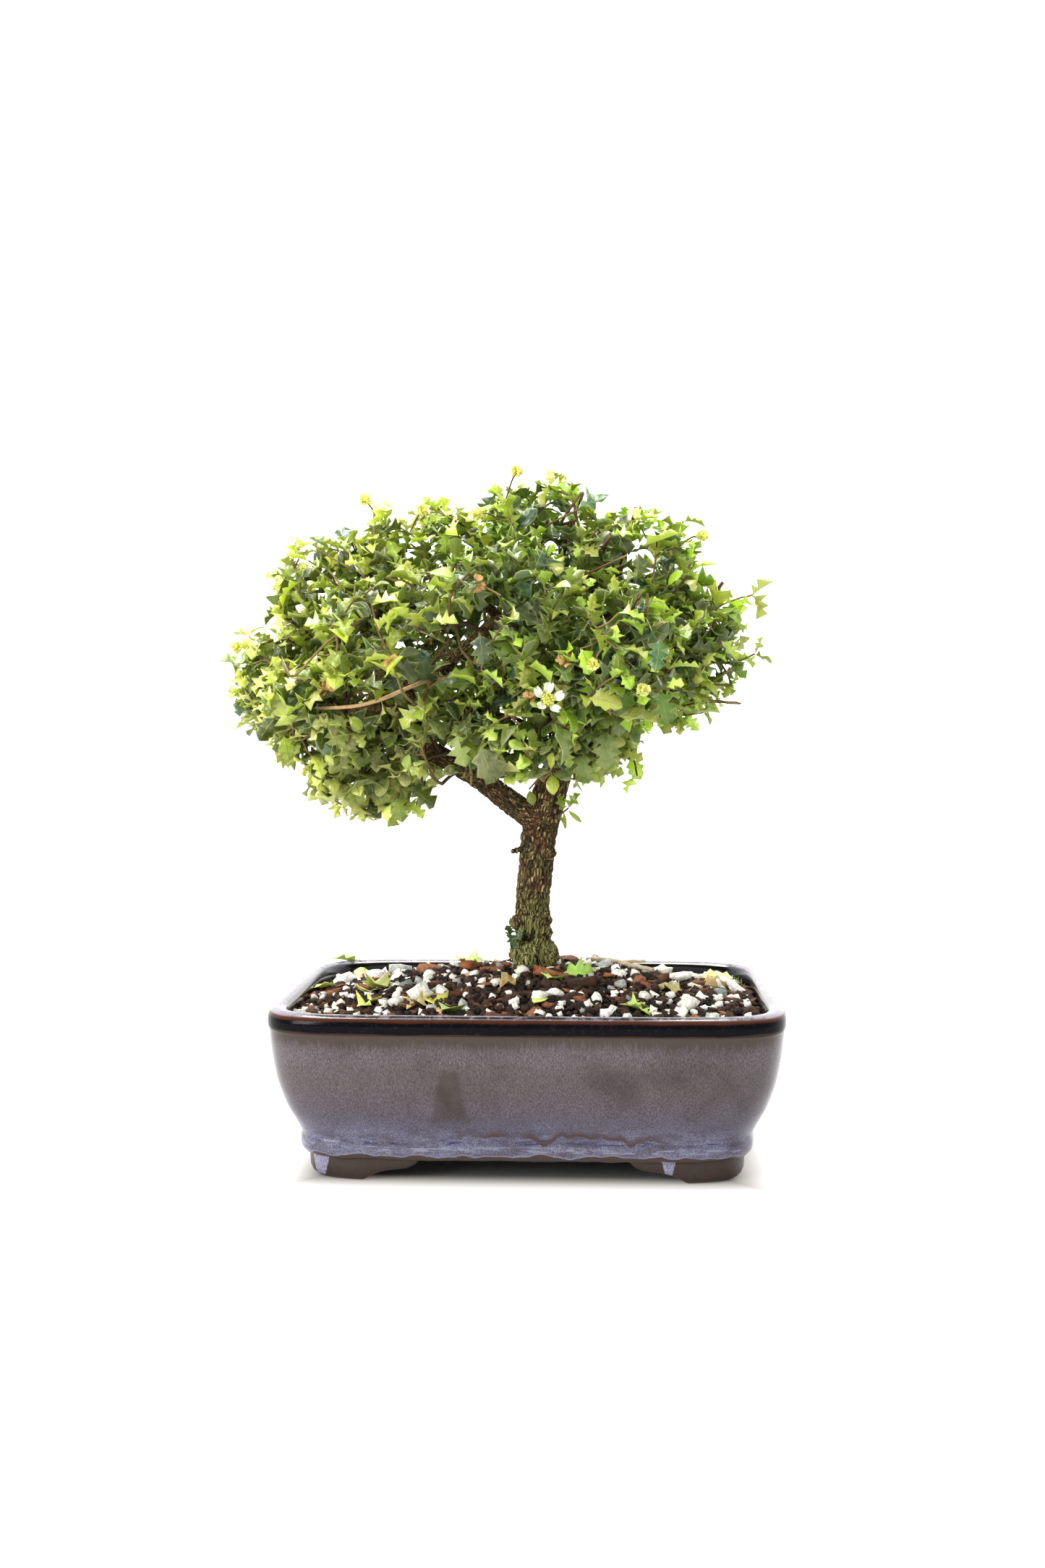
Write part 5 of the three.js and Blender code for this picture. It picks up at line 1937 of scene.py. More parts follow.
@dataclass
class LeafySpray:
    """A spray while leaves are put on its twigs, and where the blades of its leaves are."""

    spray: Spray
    twigs: list[Twig]
    view: View
    rng: random.Random
    leafy: float = 60
    first_gap: float = 3.8
    gap_growth: float = 0.9
    young_gap: float = 4
    least_room: float = 2.8
    # How far forward and back a leaf's tip may be
    reach: Range = (-80, 86)
    young_length: Range = (7, 9.4)
    full_length: Range = (9.8, 14)
    inner_leaves: int = 90
    foliage: Foliage = field(default_factory=Foliage)
    taken: list[Vector] = field(default_factory=list)

    def nearest(self, point: Vector) -> Vector:
        """The point of the twigs that is nearest to a place."""
        return min((place for twig in self.twigs for place in twig.points), key=lambda place: (place - point).length)

    def is_free(self, middle: Vector) -> bool:
        """Whether a leaf with its middle there has room and hides nothing.

        Args:
            middle: The leaf's middle.

        Returns:
            Whether it is.
        """
        if self.view.hides(middle):
            return False
        return all((middle - other).length >= self.least_room for other in self.taken)

    def add_marked(self) -> list[Line]:
        """Adds the leaves that show best and belong to the spray.

        Returns:
            The stalks that join them to the twigs.
        """
        rng = self.rng
        stalks = []
        for marked in MARKED_LEAVES:
            foot, tip = marked.foot, marked.tip
            middle = foot.lerp(tip, 0.5)
            if min(SPRAYS, key=lambda other: other.depth(middle)) is not self.spray:
                continue
            high = smooth_share(foot.z, 180, 220)
            facing = Vector((0, 0.4 * high - 0.9, 1.1 + 0.5 * high)) + direction(rng) * 0.6
            bend = Bend(rng.uniform(0.3, 0.8), rng.uniform(-0.1, 0.9), rng.gauss(0, 0.35),
                        rng.uniform(0.03, 0.1), rng.uniform(0, FULL_TURN))
            self.foliage.leaf(marked.form, 0.82 * (tip - foot).length, bend, axes(foot, tip - foot, facing),
                              [marked.age, rng.random(), marked.dust])
            self.taken.append(middle)
            joint = self.nearest(foot)
            stalks.append([(joint, 0.45), (foot.lerp(joint, 0.5) + Vector((0, 1, -1)), 0.42), (foot, 0.38)])
        return stalks

    def clothe(self, twig: Twig) -> None:
        """Puts opposite pairs of leaves on a twig, from its tip back, each pair turned from the one before.

        Args:
            twig: The twig.
        """
        rng = self.rng
        back = twig.points[::-1]
        runs = [0.0]
        for a, b in zip(back, back[1:]):
            runs.append(runs[-1] + (a - b).length)
        side = direction(rng)
        twig.vigour = rng.uniform(0.8, 1.15)
        twig.youth = rng.random()
        run, pair = 0.0, 0
        while run < min(self.leafy, runs[-1] - 0.5):
            piece = int(np.searchsorted(runs, run, side="right")) - 1
            foot = back[piece].lerp(back[piece + 1], (run - runs[piece]) / (runs[piece + 1] - runs[piece]))
            axis = (back[piece] - back[piece + 1]).normalized()
            side = (side - axis * side.dot(axis)).normalized()
            side.rotate(Matrix.Rotation(math.pi / 2 + rng.uniform(-0.4, 0.4), 3, axis))
            for hand in (1, -1):
                self.try_leaf(twig, foot, axis, side * hand, smooth_share(run, 0, 17))
            run += self.first_gap + self.gap_growth * pair + self.young_gap * twig.young
            pair += 1

    def try_leaf(self, twig: Twig, foot: Vector, axis: Vector, side: Vector, grown: float) -> None:
        """Adds one leaf if there is room for it.

        Args:
            twig: What bears it.
            foot: Where it leaves the twig.
            axis: Where the twig points.
            side: The side that the leaf stands on.
            grown: 0 for the youngest and 1 for a full leaf.
        """
        rng = self.rng
        low = smooth_share(foot.z, 200, 165)
        small = rng.uniform(*self.young_length)
        full = rng.uniform(*self.full_length) * (1 + 0.25 * low)
        length = (small + (full - small) * grown) * twig.vigour * (1 - 0.08 * smooth_share(foot.z, 215, 260))
        spread = rng.uniform(0.5, 0.9) + 0.5 * grown
        along = axis * math.cos(spread) + side * math.sin(spread) + direction(rng) * 0.3
        along.z -= 0.25 * low * grown
        along.normalize()
        middle = foot + along * length * 0.55
        end = foot + along * length
        if self.spray.depth(end) > 1.03 and not twig.young:
            length *= 0.7
            end = foot + along * length
            if self.spray.depth(end) > 1.06:
                return
        if not self.reach[0] < end.y < self.reach[1] or self.view.hides(end) or not self.is_free(middle):
            return
        self.taken.append(middle)
        height = smooth_share(foot.z, 165, 240)
        outwards = (foot - self.spray.middle).normalized()
        facing = UP * (0.9 + height) + outwards * (0.5 - 0.4 * height) + direction(rng) * (0.5 - 0.1 * height)
        entire = rng.random() < 0.05 + 0.4 * low * grown
        form = LeafForm.ENTIRE if entire else rng.choice([LeafForm.SPINY] * 3 + [LeafForm.BROAD])
        inner = 1 - smooth_share(self.spray.depth(middle), 0.45, 0.95)
        # Inner leaves are older and darker, partly as painted shade; low ones younger and paler as painted light
        age = self.age(twig, foot, 0.3 * grown + 0.34 * inner - 0.32 * low)
        # Low leaves get more dust, partly as painted light on the shaded lower crown
        dust = low * rng.uniform(0.4, 1.2) + 0.25 * inner * rng.random()
        bend = Bend.draw(rng, form)
        self.foliage.leaf(form, length, bend, axes(foot, along, facing), [age, rng.random(), min(1, dust)])

    def age(self, twig: Twig, foot: Vector, more: float) -> float:
        """Draws how old a leaf is, from 0 to 1, with painted light and shade in it.

        Those at the crown's ends are younger than those in its middle, partly as painted light, and a patch at the
        upper left front is older as painted shade.

        Args:
            twig: What bears it.
            foot: Where it leaves the twig.
            more: What its own place adds.

        Returns:
            The age.
        """
        far = abs(foot.x + 15)
        # Leaves at the crown's top and ends are younger and paler, partly as painted light that shines through them
        tip = max(smooth_share(foot.z, 245, 285), smooth_share(far, 70, 110))
        # Painted shade: leaves in a patch at the upper left front of the crown are older and darker
        shaded = 1 - smooth_share(math.hypot((foot.x + 20) / 75, (foot.z - 230) / 36), 0.5, 1.1)
        age = 0.32 + more - 0.12 * tip - 0.26 * twig.youth + self.rng.gauss(0, 0.18)
        age += 0.17 * shaded - 0.06 * smooth_share(far, 82, 120)
        return min(1, max(0, 0.05 + 0.1 * self.rng.random() if twig.young else age))

    def fill(self) -> None:
        """Adds old leaves inside the spray, on the twig nearest to each, dark partly as painted shade."""
        rng = self.rng
        for _ in range(self.inner_leaves):
            far = 0.85 * rng.random() ** 0.4
            point = self.spray.middle + self.spray.stretched(direction(rng) * far)
            foot = self.nearest(point)
            along = point - foot + direction(rng)
            middle = foot + along.normalized() * 5
            if along.length > 11 or not self.is_free(middle):
                continue
            self.taken.append(middle)
            form = rng.choice(list(LeafForm))
            nature = [rng.uniform(0.6, 1), rng.random() * 0.7, 0.3 * rng.random()]
            placed = axes(foot, along, UP + direction(rng))
            self.foliage.leaf(form, rng.uniform(9, 13), Bend.draw(rng, form), placed, nature)


@dataclass
class Crown:
    """The crown: the twigs and the leaves of every spray."""

    tip_radius: float = 0.42
    seed: int = 900
    # Ends of the long pale shoots that stand out of the crown
    sprigs: tuple[tuple[str, Place], ...] = (
        ("left_tip", (-122, 2, 219)), ("left_tip", (-112, -10, 217)), ("right_side", (94, 0, 236)),
        ("right_side", (95, -4, 211)), ("left_top", (-100, 0, 252)), ("crown_left", (-66, -4, 272)),
        ("right_low", (45, -22, 160)))
    # Branches that show between the leaves: two points each, kept free of leaves in front
    windows: tuple[tuple[Place, Place, float], ...] = (
        ((-36, -22, 203), (-6, -40, 234), 6), ((-86, -30, 189), (-50, -26, 195), 6),
        ((-40, 0, 167), (-4, 8, 143), 9), ((0, 8, 120), (9, 8, 156), 9), ((-42, -10, 216), (-26, -10, 226), 7))
    # Twigs and pruned stubs that show before the leaves: their spray, radius and points, from the inner end
    shown: tuple[tuple[str, float, tuple[Place, ...]], ...] = (
        ("left_middle", 1.0, ((-44.8, -56, 197), (-57, -58, 191.6), (-69, -58, 188.7), (-84, -52, 188))),
        ("left_front", 0.65, ((-97.3, -50, 204.7), (-92.4, -54, 201.1), (-78, -58, 214.8), (-58.9, -60, 226.7))),
        ("right_top", 0.6, ((25.6, -28, 243.9), (40.5, -30, 250.5))),
        ("crown_top", 0.6, ((31, -12, 254), (34.4, -17, 260.6))),
        ("crown_top", 0.65, ((24.6, -12, 258), (28.6, -16, 263.2))),
        ("crown_top", 0.75, ((15.8, -10, 270.5), (21.7, -14, 278.1))),
        ("crown_top", 0.55, ((9, -10, 266), (20.5, -16, 270.9))),
        ("right_front", 0.6, ((48.1, -58, 221), (48, -62, 232.8))),
        ("right_side", 0.55, ((78.9, -20, 200.7), (85.1, -22, 205))),
        ("left_top", 0.6, ((-76, -14, 247), (-90.2, -12, 255.1))),
        ("left_top", 0.55, ((-83, -16, 241), (-91.9, -14, 247.9))))
    sprays: dict[str, LeafySpray] = field(default_factory=dict)

    def view(self) -> View:
        """The photograph's view, with everything in it that the leaves keep clear of.

        Returns:
            The view.
        """
        view = View()
        for start, end, radius in self.windows:
            view.keep((start, end), radius)
        for leaf in MARKED_LEAVES:
            view.keep((leaf.foot.lerp(leaf.tip, 0.2), leaf.tip), (leaf.tip - leaf.foot).length * 0.3)
        for _, radius, points in self.shown:
            view.keep(points, radius + 2.2)
        return view

    def shown_twigs(self) -> list[Line]:
        """The twigs that show before the leaves, each from a twig inside its spray.

        Returns:
            A line for each.
        """
        lines = []
        for name, radius, points in self.shown:
            first, second = Vector(points[0]), Vector(points[1])
            inner = first + (first - second).normalized() * 5 + Vector((0, 12, 0))
            line = [self.sprays[name].nearest(inner), inner, *map(Vector, points)]
            lines.append([(point, radius * (1 - 0.3 * place / len(line))) for point, place in smooth_line(line, 3)])
        return lines

    def add_to(self, bonsai: Bonsai) -> None:
        """Adds the leaves of each spray and the twigs of them all. The first twig that is shown is painted pale as bare
        wood, partly standing for the light on it.

        Args:
            bonsai: The bonsai that takes the pieces.
        """
        lines = []
        view = self.view()
        for number, spray in enumerate(SPRAYS):
            rng = random.Random(self.seed + number)
            young = [Vector(end) for name, end in self.sprigs if name == spray.name]
            leafy = LeafySpray(spray, TwigSystem(spray).grow(rng, young), view, rng)
            self.sprays[spray.name] = leafy
            lines += leafy.add_marked()
            for twig in leafy.twigs:
                leafy.clothe(twig)
                lines.append([(point, self.tip_radius * load**0.36) for point, load in zip(twig.points, twig.load)])
            leafy.fill()
            mesh = leafy.foliage.mesh()
            bonsai.add(f"leaves_{spray.name}", mesh, "holly_leaf", "leaf", f"spray_{spray.name}")
        bare = len(lines)
        lines += self.shown_twigs()
        mesh = tubes(lines, 1)
        mesh.shade_smooth()
        samples = [(place, radius, number) for number, line in enumerate(lines) for place, radius in line]
        near = search_tree([place for place, _, _ in samples])
        nearest = [samples[near.find(vertex.co)[1]] for vertex in mesh.vertices]
        add_nature(mesh, "thick", (radius for _, radius, _ in nearest))
        add_nature(mesh, "bare", (float(number == bare) for _, _, number in nearest))
        bonsai.add("crown_twigs", mesh, "twig_bark", "bark")


# The flowers


@dataclass(frozen=True)
class Bloom:
    """A flower: its name, the spray that bears it and the place of its head."""

    name: str
    spray: str
    head: Vector
    is_open: bool = False


BLOOMS = (
    Bloom("top", "crown_top", Vector((-6, -5, 288))),
    Bloom("upper_left", "crown_left", Vector((-71, 0, 277))),
    Bloom("crown_left", "crown_left", Vector((-44, -22, 270))),
    Bloom("crown_front", "crown_top", Vector((-21, -24, 268))),
    Bloom("upper_right", "right_top", Vector((73, 0, 261))),
    Bloom("centre", "centre_low", Vector((9, -66, 191)), True),
    Bloom("right", "right_front", Vector((46, -71, 195))),
    Bloom("front", "right_front", Vector((27, -76, 205))),
    Bloom("left", "left_tip", Vector((-127, 0, 214))),
)


def petal_shape() -> Shape:
    """Models a petal, one long: a narrow claw, then a round blade with a fringed edge.

    Returns:
        The template.
    """
    rows = ((0, 0.05), (0.28, 0.06), (0.42, 0.34), (0.62, 0.5), (0.82, 0.46), (0.98, 0.32))
    last, across = len(rows) - 1, 6
    bm = bmesh.new()
    bmesh.ops.create_grid(bm, x_segments=last, y_segments=across, size=1)
    for vertex in bm.verts:
        row = round((vertex.co.x + 1) / 2 * last)
        side = vertex.co.y
        along, width = rows[row]
        tooth = 0.07 * (-1) ** round((side + 1) * across / 2) if row >= last - 1 else 0
        curve = 0.3 * along**2 + 0.16 * side**2 * (along > 0.4) + tooth
        vertex.co = (along + tooth - 0.1 * side**2 * (row == last), side * width, curve)
    slab(bm, 0.04)
    return Shape.take(bm)


def ball_shape() -> Shape:
    """Models a small round head, one across.

    Returns:
        The template.
    """
    bm = bmesh.new()
    bmesh.ops.create_icosphere(bm, subdivisions=1, radius=0.5)
    return Shape.take(bm, lambda p: (p.z + 0.5, 0))


def spun(turn: float, axis: str = "Z") -> Matrix:
    """A turn about an axis."""
    return Matrix.Rotation(turn, 4, axis)


def sized(x: float, y: float, z: float) -> Matrix:
    """A size along each axis."""
    return Matrix.Diagonal((x, y, z, 1))


class Dress(IntEnum):
    """The finishes of a flower, in the order in which its piece has them."""

    PETAL = 0
    STAMEN = 1
    HOLLY_LEAF = 2
    TWIG_BARK = 3
    PALE_PETAL = 4


@dataclass
class Flowers:
    """Flowers with five clawed, fringed petals round a boss of yellow stamens, on thin red stalks."""

    # The age, tint and dust of their parts
    PLAIN = (0.2, 0.5, 0)

    crown: Crown
    petals: int = 5
    petal_length: float = 6.4
    petal_width: float = 3.8
    stamens: int = 22
    folds: int = 30
    stalk_radius: float = 0.38
    withered_petals: int = 7
    # Withered flowers: spray and about where they hang
    withered: tuple[tuple[str, Place], ...] = (
        ("right_front", (17, -76, 198)), ("centre_low", (-4, -66, 204)), ("left_middle", (-49, -78, 206)),
        ("left_front", (-72, -62, 205)), ("left_tip", (-104, -20, 207)), ("centre_front", (-24, -80, 226)),
        ("left_back", (-70, 84, 214)), ("right_back", (50, 84, 216)))
    petal: Shape = field(default_factory=petal_shape)
    ball: Shape = field(default_factory=ball_shape)
    thread: Shape = field(default_factory=lambda: rod(4, 0.5, 0.35))

    def open_head(self, stamps: Stamps, turned: Matrix, rng: random.Random) -> None:
        """Adds an open flower with its petals, its sepals and its stamens.

        Args:
            stamps: Takes the parts.
            turned: The head's place and turn.
            rng: The random numbers.
        """
        for number in range(self.petals):
            spin = spun(number / self.petals * FULL_TURN + rng.uniform(-0.1, 0.1))
            size = sized(self.petal_length, self.petal_width, self.petal_length)
            tilt = spun(rng.uniform(-0.3, 0.1), "Y")
            stamps.add(self.petal, turned @ spin @ Matrix.Translation((0.6, 0, 0)) @ tilt @ size, self.PLAIN)
            sepal = spun((number + 0.5) / self.petals * FULL_TURN)
            place = turned @ sepal @ Matrix.Translation((0.3, 0, -0.7)) @ sized(2.6, 2.4, 2.6)
            stamps.add(self.petal, place, self.PLAIN, Dress.HOLLY_LEAF)
        for number in range(self.stamens):
            spin, lean = spun(number * GOLDEN_TURN), spun(0.12 + 0.9 * math.sqrt(number / self.stamens), "Y")
            tall = 3 + rng.uniform(-0.3, 0.3)
            stamps.add(self.thread, turned @ spin @ lean @ sized(0.22, 0.22, tall), self.PLAIN, Dress.STAMEN)
            top = Matrix.Translation((0, 0, tall)) @ sized(1, 1, 1.1)
            stamps.add(self.ball, turned @ spin @ lean @ top, self.PLAIN, Dress.STAMEN)
        stamps.add(self.ball, turned @ sized(3.8, 3.8, 2.8), self.PLAIN, Dress.STAMEN)

    def crinkled_head(self, stamps: Stamps, turned: Matrix, rng: random.Random) -> None:
        """Adds a flower that is only unfolding: a ball of crinkled fringed petals, the outer ones longer.

        Args:
            stamps: Takes the petals.
            turned: The head's place and turn.
            rng: The random numbers.
        """
        for number in range(self.folds):
            height = 1 - 1.7 * (number + 0.5) / self.folds
            turn = number * GOLDEN_TURN
            flat = math.sqrt(max(0, 1 - height * height))
            along = Vector((flat * math.cos(turn), flat * math.sin(turn), height))
            size = (1.6 + 0.8 * flat) * rng.uniform(0.8, 1.2)
            blade = axes(Vector(), along, direction(rng)) @ sized(size, size * 0.75, size)
            stamps.add(self.petal, turned @ blade, self.PLAIN, Dress.STAMEN if height > -0.2 else Dress.PALE_PETAL)
        for number in range(self.petals):
            spin = spun(number / self.petals * FULL_TURN + rng.uniform(-0.2, 0.2))
            length = 0.46 * self.petal_length * rng.uniform(0.8, 1.1)
            tilt = spun(rng.uniform(-0.7, 0), "Y")
            size = sized(length, length * 0.8, length)
            stamps.add(self.petal, turned @ spin @ tilt @ size, self.PLAIN, Dress.PALE_PETAL)
        stamps.add(self.ball, turned @ sized(1.8, 1.8, 1.8), self.PLAIN, Dress.STAMEN)

    def build(self, bloom: Bloom) -> bpy.types.Mesh:
        """Models one flower on its bent stalk. It looks away from the stalk, and to the front and up.

        Args:
            bloom: The flower's place and kind.

        Returns:
            The mesh.
        """
        spray = self.crown.sprays[bloom.spray]
        foot = spray.nearest(bloom.head.lerp(spray.spray.middle, 0.35))
        facing = (bloom.head - foot).normalized().lerp(Vector((0, -0.75, 0.66)), 0.6).normalized()
        stamps = Stamps("age", "tint", "dust")
        make = self.open_head if bloom.is_open else self.crinkled_head
        make(stamps, axes(bloom.head, facing.orthogonal(), facing), random.Random(bloom.name))
        points = [foot, foot.lerp(bloom.head, 0.55) + UP * 1.4, bloom.head]
        line = [(point, self.stalk_radius * (1 + 0.25 * (place > 1.6))) for point, place in smooth_line(points, 5)]
        return mesh_of(bmesh_of(stamps.mesh(), stem(line, Dress.TWIG_BARK, 0.45)), 60)

    def add_to(self, bonsai: Bonsai) -> None:
        """Adds the flowers and what is left of older ones.

        Args:
            bonsai: The bonsai that takes the pieces.
        """
        dress = " ".join(finish.name.lower() for finish in Dress)
        for bloom in BLOOMS:
            bonsai.add(f"bloom_{bloom.name}", self.build(bloom), dress, "flower", f"flower_{bloom.name}")
        stamps = Stamps("tint")
        rng = random.Random(77)
        for name, about in self.withered:
            foot = self.crown.sprays[name].nearest(Vector(about))
            for _ in range(self.withered_petals):
                size = rng.uniform(2.4, 4.2)
                along = direction(rng) - Vector((0, 0.5, 0))
                stamps.add(self.petal, axes(foot, along, direction(rng)) @ Matrix.Scale(size, 4), [rng.random()])
        bonsai.add("withered_flowers", stamps.mesh(), "withered_petal", "flower")


# Shoots on the trunk, and what has fallen


@dataclass(frozen=True)
class TrunkShoot:
    """A small leafy shoot on the trunk."""

    name: str
    base: Vector
    tip: Vector
    age: float
    # Place along the stem, the way that the leaf points, its length, how wide it is, and its outline
    leaves: tuple[tuple[float, Place, float, float, LeafForm], ...]

    def add_to(self, bonsai: Bonsai) -> None:
        """Adds the shoot, as a bent stem with its leaves.

        Args:
            bonsai: The bonsai that takes the pieces.
        """
        rng = random.Random(self.name)
        foliage = Foliage()
        for place, way, length, width, form in self.leaves:
            facing = Vector((0.1, -1, 0.5)) + direction(rng) * 0.3
            placed = axes(self.base.lerp(self.tip, place), Vector(way), facing) @ sized(1, width, 1)
            foliage.leaf(form, length, Bend.draw(rng, form), placed, [self.age, 0.4, 0.1])
        start = self.base.lerp(Vector((self.base.x * 0.4, 9, self.base.z)), 0.6)
        middle = self.base.lerp(self.tip, 0.5) + Vector((0, 0, -0.8))
        points = smooth_line([start, self.base, middle, self.tip], 4)
        line = [(point, 0.75 - 0.03 * number) for number, (point, _) in enumerate(points)]
        mesh = mesh_of(bmesh_of(foliage.mesh(), stem(line, 1, 0.7)), 60)
        bonsai.add(f"trunk_shoot_{self.name}", mesh, "holly_leaf twig_bark", "leaf", f"shoot_{self.name}")


TRUNK_SHOOTS = (
    TrunkShoot("right", Vector((8, 6, 140)), Vector((16, 3, 145)), 0.45, (
        (1, (0.5, -0.3, 0.8), 7, 1, LeafForm.SPINY), (0.9, (0.8, -0.2, -0.7), 9, 0.4, LeafForm.ENTIRE),
        (0.75, (0.1, -0.2, -1), 8, 0.4, LeafForm.ENTIRE), (0.7, (-0.2, -0.5, 0.9), 6.5, 0.8, LeafForm.SPINY),
        (0.45, (0.7, -0.4, -0.9), 6, 0.4, LeafForm.ENTIRE))),
    TrunkShoot("foot", Vector((-3, 6, 88)), Vector((-11, 2, 91)), 0.96, (
        (0.8, (0.3, -0.7, -0.6), 7, 0.9, LeafForm.SPINY), (0.7, (-0.3, -0.6, 0.6), 6, 0.9, LeafForm.SPINY),
        (0.5, (0.5, -0.8, 0.1), 7, 1, LeafForm.BROAD), (0.5, (-0.2, -0.6, -0.9), 6, 0.9, LeafForm.SPINY))),
)


@dataclass(frozen=True)
class ShedLeaf:
    """A leaf that has fallen on the soil or the rim: its turn, its length, its age, and its outline."""

    name: str
    turn: float
    length: float
    age: float
    form: LeafForm = LeafForm.SPINY

    def add_to(self, bonsai: Bonsai) -> None:
        """Adds the leaf where its solid lies.

        Args:
            bonsai: The bonsai that takes the pieces.
        """
        rng = random.Random(self.name)
        middle, low = bonsai.lies(f"shed_leaf_{self.name}")
        along = Vector((math.cos(self.turn), math.sin(self.turn), 0))
        foot = middle - along * self.length / 2
        foot.z = low + 1.8
        bend = Bend(0.45, 0.5, rng.uniform(-0.3, 0.3), 0.06, rng.uniform(0, FULL_TURN))
        foliage = Foliage()
        foliage.leaf(self.form, self.length, bend, axes(foot, along, UP), [self.age, 0.7, 0.2])
        bonsai.add(f"fallen_{self.name}", foliage.mesh(), "fallen_leaf", "shed_leaf", f"shed_leaf_{self.name}")


SHED_LEAVES = (
    ShedLeaf("back_left", 0.4, 14, 0.5),
    ShedLeaf("back_middle", 2.6, 17, 0.75),
    ShedLeaf("left", 1.9, 13, 0.35),
    ShedLeaf("front_left", 5.6, 15, 0.05, LeafForm.BROAD),
    ShedLeaf("front_middle", 0.9, 13, 0.62),
    ShedLeaf("middle", 3.5, 17, 0.45, LeafForm.BROAD),
    ShedLeaf("front_right", 1.2, 12, 0.2),
    ShedLeaf("right", 5.9, 13, 0.3),
    ShedLeaf("far_right", 2.2, 13, 0.55),
)
# Small loose leaves on the soil: X, Y, length, turn and age
LOOSE_LEAVES = (
    (-93, 18, 9, 0.4, 0.3), (-66, -8, 12, 5.4, 0.25), (-67, -30, 10, 0.9, 0.3), (-46, -39, 9, 2.9, 1),
    (-29, 37, 12, 2.4, 0.55), (5, -43, 9, 1.2, 0.1), (20, -4, 10, 0.3, 0.6), (84, 42, 11, 3.3, 0.4),
    (79, 14, 10, 5.9, 1), (88, 30, 9, 2, 0.9), (-8, -22, 8, 4.1, 1), (46, -36, 8, 0.5, 0.35),
    (-80, 45, 10, 1.6, 0.8), (60, -12, 8, 2.7, 1), (-14, 60, 10, 0.2, 0.5),
)


def add_loose_leaves(bonsai: Bonsai, soil: SoilMix) -> None:
    """Adds the small loose leaves, each curled and tipped to one side.

    Args:
        bonsai: The bonsai that takes the pieces.
        soil: What they lie on.
    """
    rng = random.Random(808)
    foliage = Foliage()
    for x, y, length, turn, age in LOOSE_LEAVES:
        along = Vector((math.cos(turn), math.sin(turn), rng.uniform(0, 0.4)))
        length *= 1.2
        foot = Vector((x, y, soil.height(x, y) + 2.4)) - along * length / 2
        form = rng.choice(list(LeafForm))
        placed = axes(foot, along, UP + Vector((0, -0.5, 0)) + direction(rng) * 0.3)
        foliage.leaf(form, length, Bend.draw(rng, form), placed, [age, rng.random(), 0])
    bonsai.add("loose_leaves", foliage.mesh(), "fallen_leaf", "shed_leaf")


@dataclass(frozen=True)
class DryTwig:
    """A forked dry twig on the soil: the points of its stem and of its fork, and their radii."""

    stem: tuple[Place, ...] = ((24, 38, 0), (31, 33.5, 0.6), (38, 26, 0.8), (46, 15, 0.5), (53, 8, 0))
    fork: tuple[Place, ...] = ((38, 26, 0.6), (44, 26.4, 1.1), (50, 25, 1.4))
    stem_radii: tuple[float, ...] = (1.2, 1.15, 1.1, 1, 0.8)
    fork_radii: tuple[float, ...] = (0.9, 0.8, 0.65)

    def add_to(self, bonsai: Bonsai) -> None:
        """Adds the twig where its solid lies.

        Args:
            bonsai: The bonsai that takes the pieces.
        """
        low = bonsai.lies("shed_twig")[1]
        lines = []
        for points, radii in ((self.stem, self.stem_radii), (self.fork, self.fork_radii)):
            raised = smooth_line([Vector(point) + UP * (low + 1.2) for point in points], 3)
            lines.append([(point + noise.noise_vector(point * 0.3) * 0.3,
                           float(np.interp(place, range(len(radii)), radii))) for point, place in raised])
        mesh = tubes(lines, 2)
        mesh.shade_smooth()
        add_nature(mesh, "tint", (0.5 + 0.5 * noise.noise(v.co * 0.4) for v in mesh.vertices))
        bonsai.add("dry_twig", mesh, "dry_twig", "dry_twig", "shed_twig")


# The studio


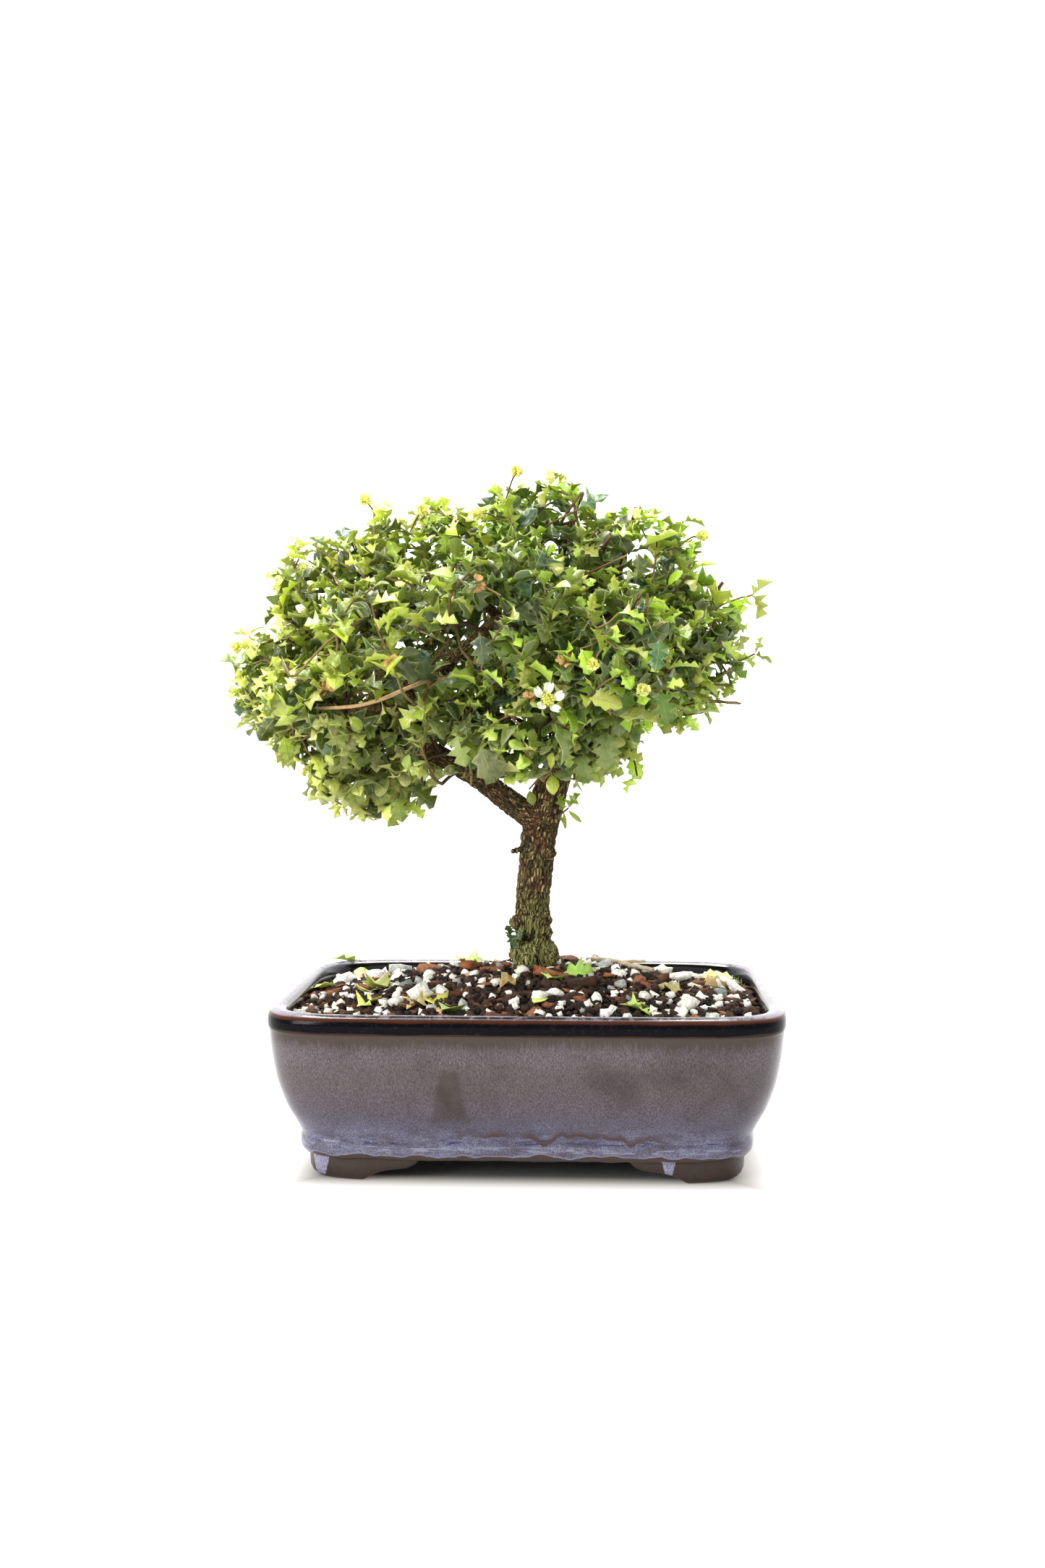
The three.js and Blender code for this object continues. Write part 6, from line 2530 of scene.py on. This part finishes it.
@dataclass
class Studio:
    """A white table in soft white light, and the camera at the photograph's place."""

    centre: Vector
    yaw_degrees: float = 2.576
    pitch_degrees: float = 2.509
    lens: float = 40.27
    film: float = 36
    floor_half: float = 12
    floor_white: float = 0.2
    floor_glow: float = 0.85
    floor_shade: Colour = (1, 0.86, 0.7, 1)
    pot_half: Range = (0.093, 0.07)
    back_sky: float = 1.9
    front_sky: float = 0.66
    top_sky: float = 1.1
    sun: float = 6.6
    sun_place: Place = (-0.15, 0.35, 1.3)
    sun_degrees: float = 34
    window: float = 15
    window_size: float = 0.5
    window_place: Place = (-0.85, -0.9, 0.5)
    window_aim: Place = (0, 0, 0.18)

    def room(self) -> bpy.types.World:
        """Makes the white room. It is seen as white, and shines less from the front than from above and behind.

        Returns:
            The world.
        """
        s = Shade("white_room", "worlds")
        _, back, up = s.node("ShaderNodeTexCoord", {}, "Generated").parts()
        strength = back.step(-0.4, 0.7) * (self.back_sky - self.front_sky) + self.front_sky
        strength = up.step(0.2, 1.0) * self.top_sky + strength
        seen = s.node("ShaderNodeLightPath", {}, "Is Camera Ray")
        shine = {"Color": WHITE, "Strength": strength.math("MAXIMUM", seen)}
        return s.done(s.node("ShaderNodeBackground", shine))

    def table(self) -> bpy.types.Material:
        """Makes the white of the table, which glows except in a warm painted shadow under and around the pot.

        Returns:
            The material.
        """
        s = Shade("table_white")
        x, y, _ = s.place(self.centre).parts()
        outside = (abs(x) - self.pot_half[0]).math("MAXIMUM", abs(y) - self.pot_half[1])
        # Painted shadow: the glow fades out, and turns warm, under and around the pot
        lit = outside.step(-0.016, 0.008)
        white = (self.floor_white, self.floor_white, self.floor_white, 1)
        return s.done(s.node("ShaderNodeBsdfPrincipled", {
            "Base Color": white, "Roughness": 0.9, "Emission Color": lit.mix(self.floor_shade, WHITE),
            "Emission Strength": lit * self.floor_glow}))

    def lamp(self, kind: str, name: str, place: Place, aim: Place, strength: float) -> bpy.types.Light:
        """Hangs a lamp.

        Args:
            kind: AREA or SUN.
            name: Its name.
            place: Where it hangs, in metres from the pot's middle.
            aim: The point that it lights.
            strength: Its power.

        Returns:
            Its data, for the size.
        """
        data = bpy.data.lights.new(name, kind)
        data.energy = strength
        lamp = linked(name, data)
        lamp.location = Vector(place) + self.centre
        lamp.rotation_euler = (Vector(aim) - Vector(place)).to_track_quat("-Z", "Y").to_euler()
        return data

    def build(self) -> None:
        """Makes the floor, the lamps, the sky and the camera."""
        bm = bmesh.new()
        bmesh.ops.create_grid(bm, x_segments=1, y_segments=1, size=self.floor_half)
        floor = linked("table_top", mesh_of(bm))
        floor.data.materials.append(self.table())

        bpy.context.scene.world = self.room()
        self.lamp("SUN", "skylight", self.sun_place, (0, 0, 0), self.sun).angle = math.radians(self.sun_degrees)
        self.lamp("AREA", "window", self.window_place, self.window_aim, self.window).size = self.window_size

        data = bpy.data.cameras.new("camera")
        data.sensor_width = self.film
        data.lens = self.lens
        camera = linked("camera", data)
        camera.location = Vector(CAMERA_PLACE) * MM + self.centre
        camera.rotation_euler = (math.radians(90 - self.pitch_degrees), 0, math.radians(self.yaw_degrees))
        bpy.context.scene.camera = camera
        bpy.context.scene.view_settings.view_transform = "Standard"


def main() -> None:
    """Builds every piece in order around the frame."""
    logging.basicConfig(level=logging.INFO, format="%(name)s: %(message)s")
    # Noise vectors are seeded by the clock otherwise, and the bark would differ from run to run
    noise.seed_set(NOISE_SEED)
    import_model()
    pot = GlazedPot()
    soil = SoilMix(pot)
    crown = Crown()
    bonsai = Bonsai(pot)
    Studio(bonsai.centre).build()
    for part in (pot, soil, Wood(), crown, Flowers(crown), *TRUNK_SHOOTS, *SHED_LEAVES):
        part.add_to(bonsai)
    add_loose_leaves(bonsai, soil)
    DryTwig().add_to(bonsai)


if __name__ == "__main__":
    main()
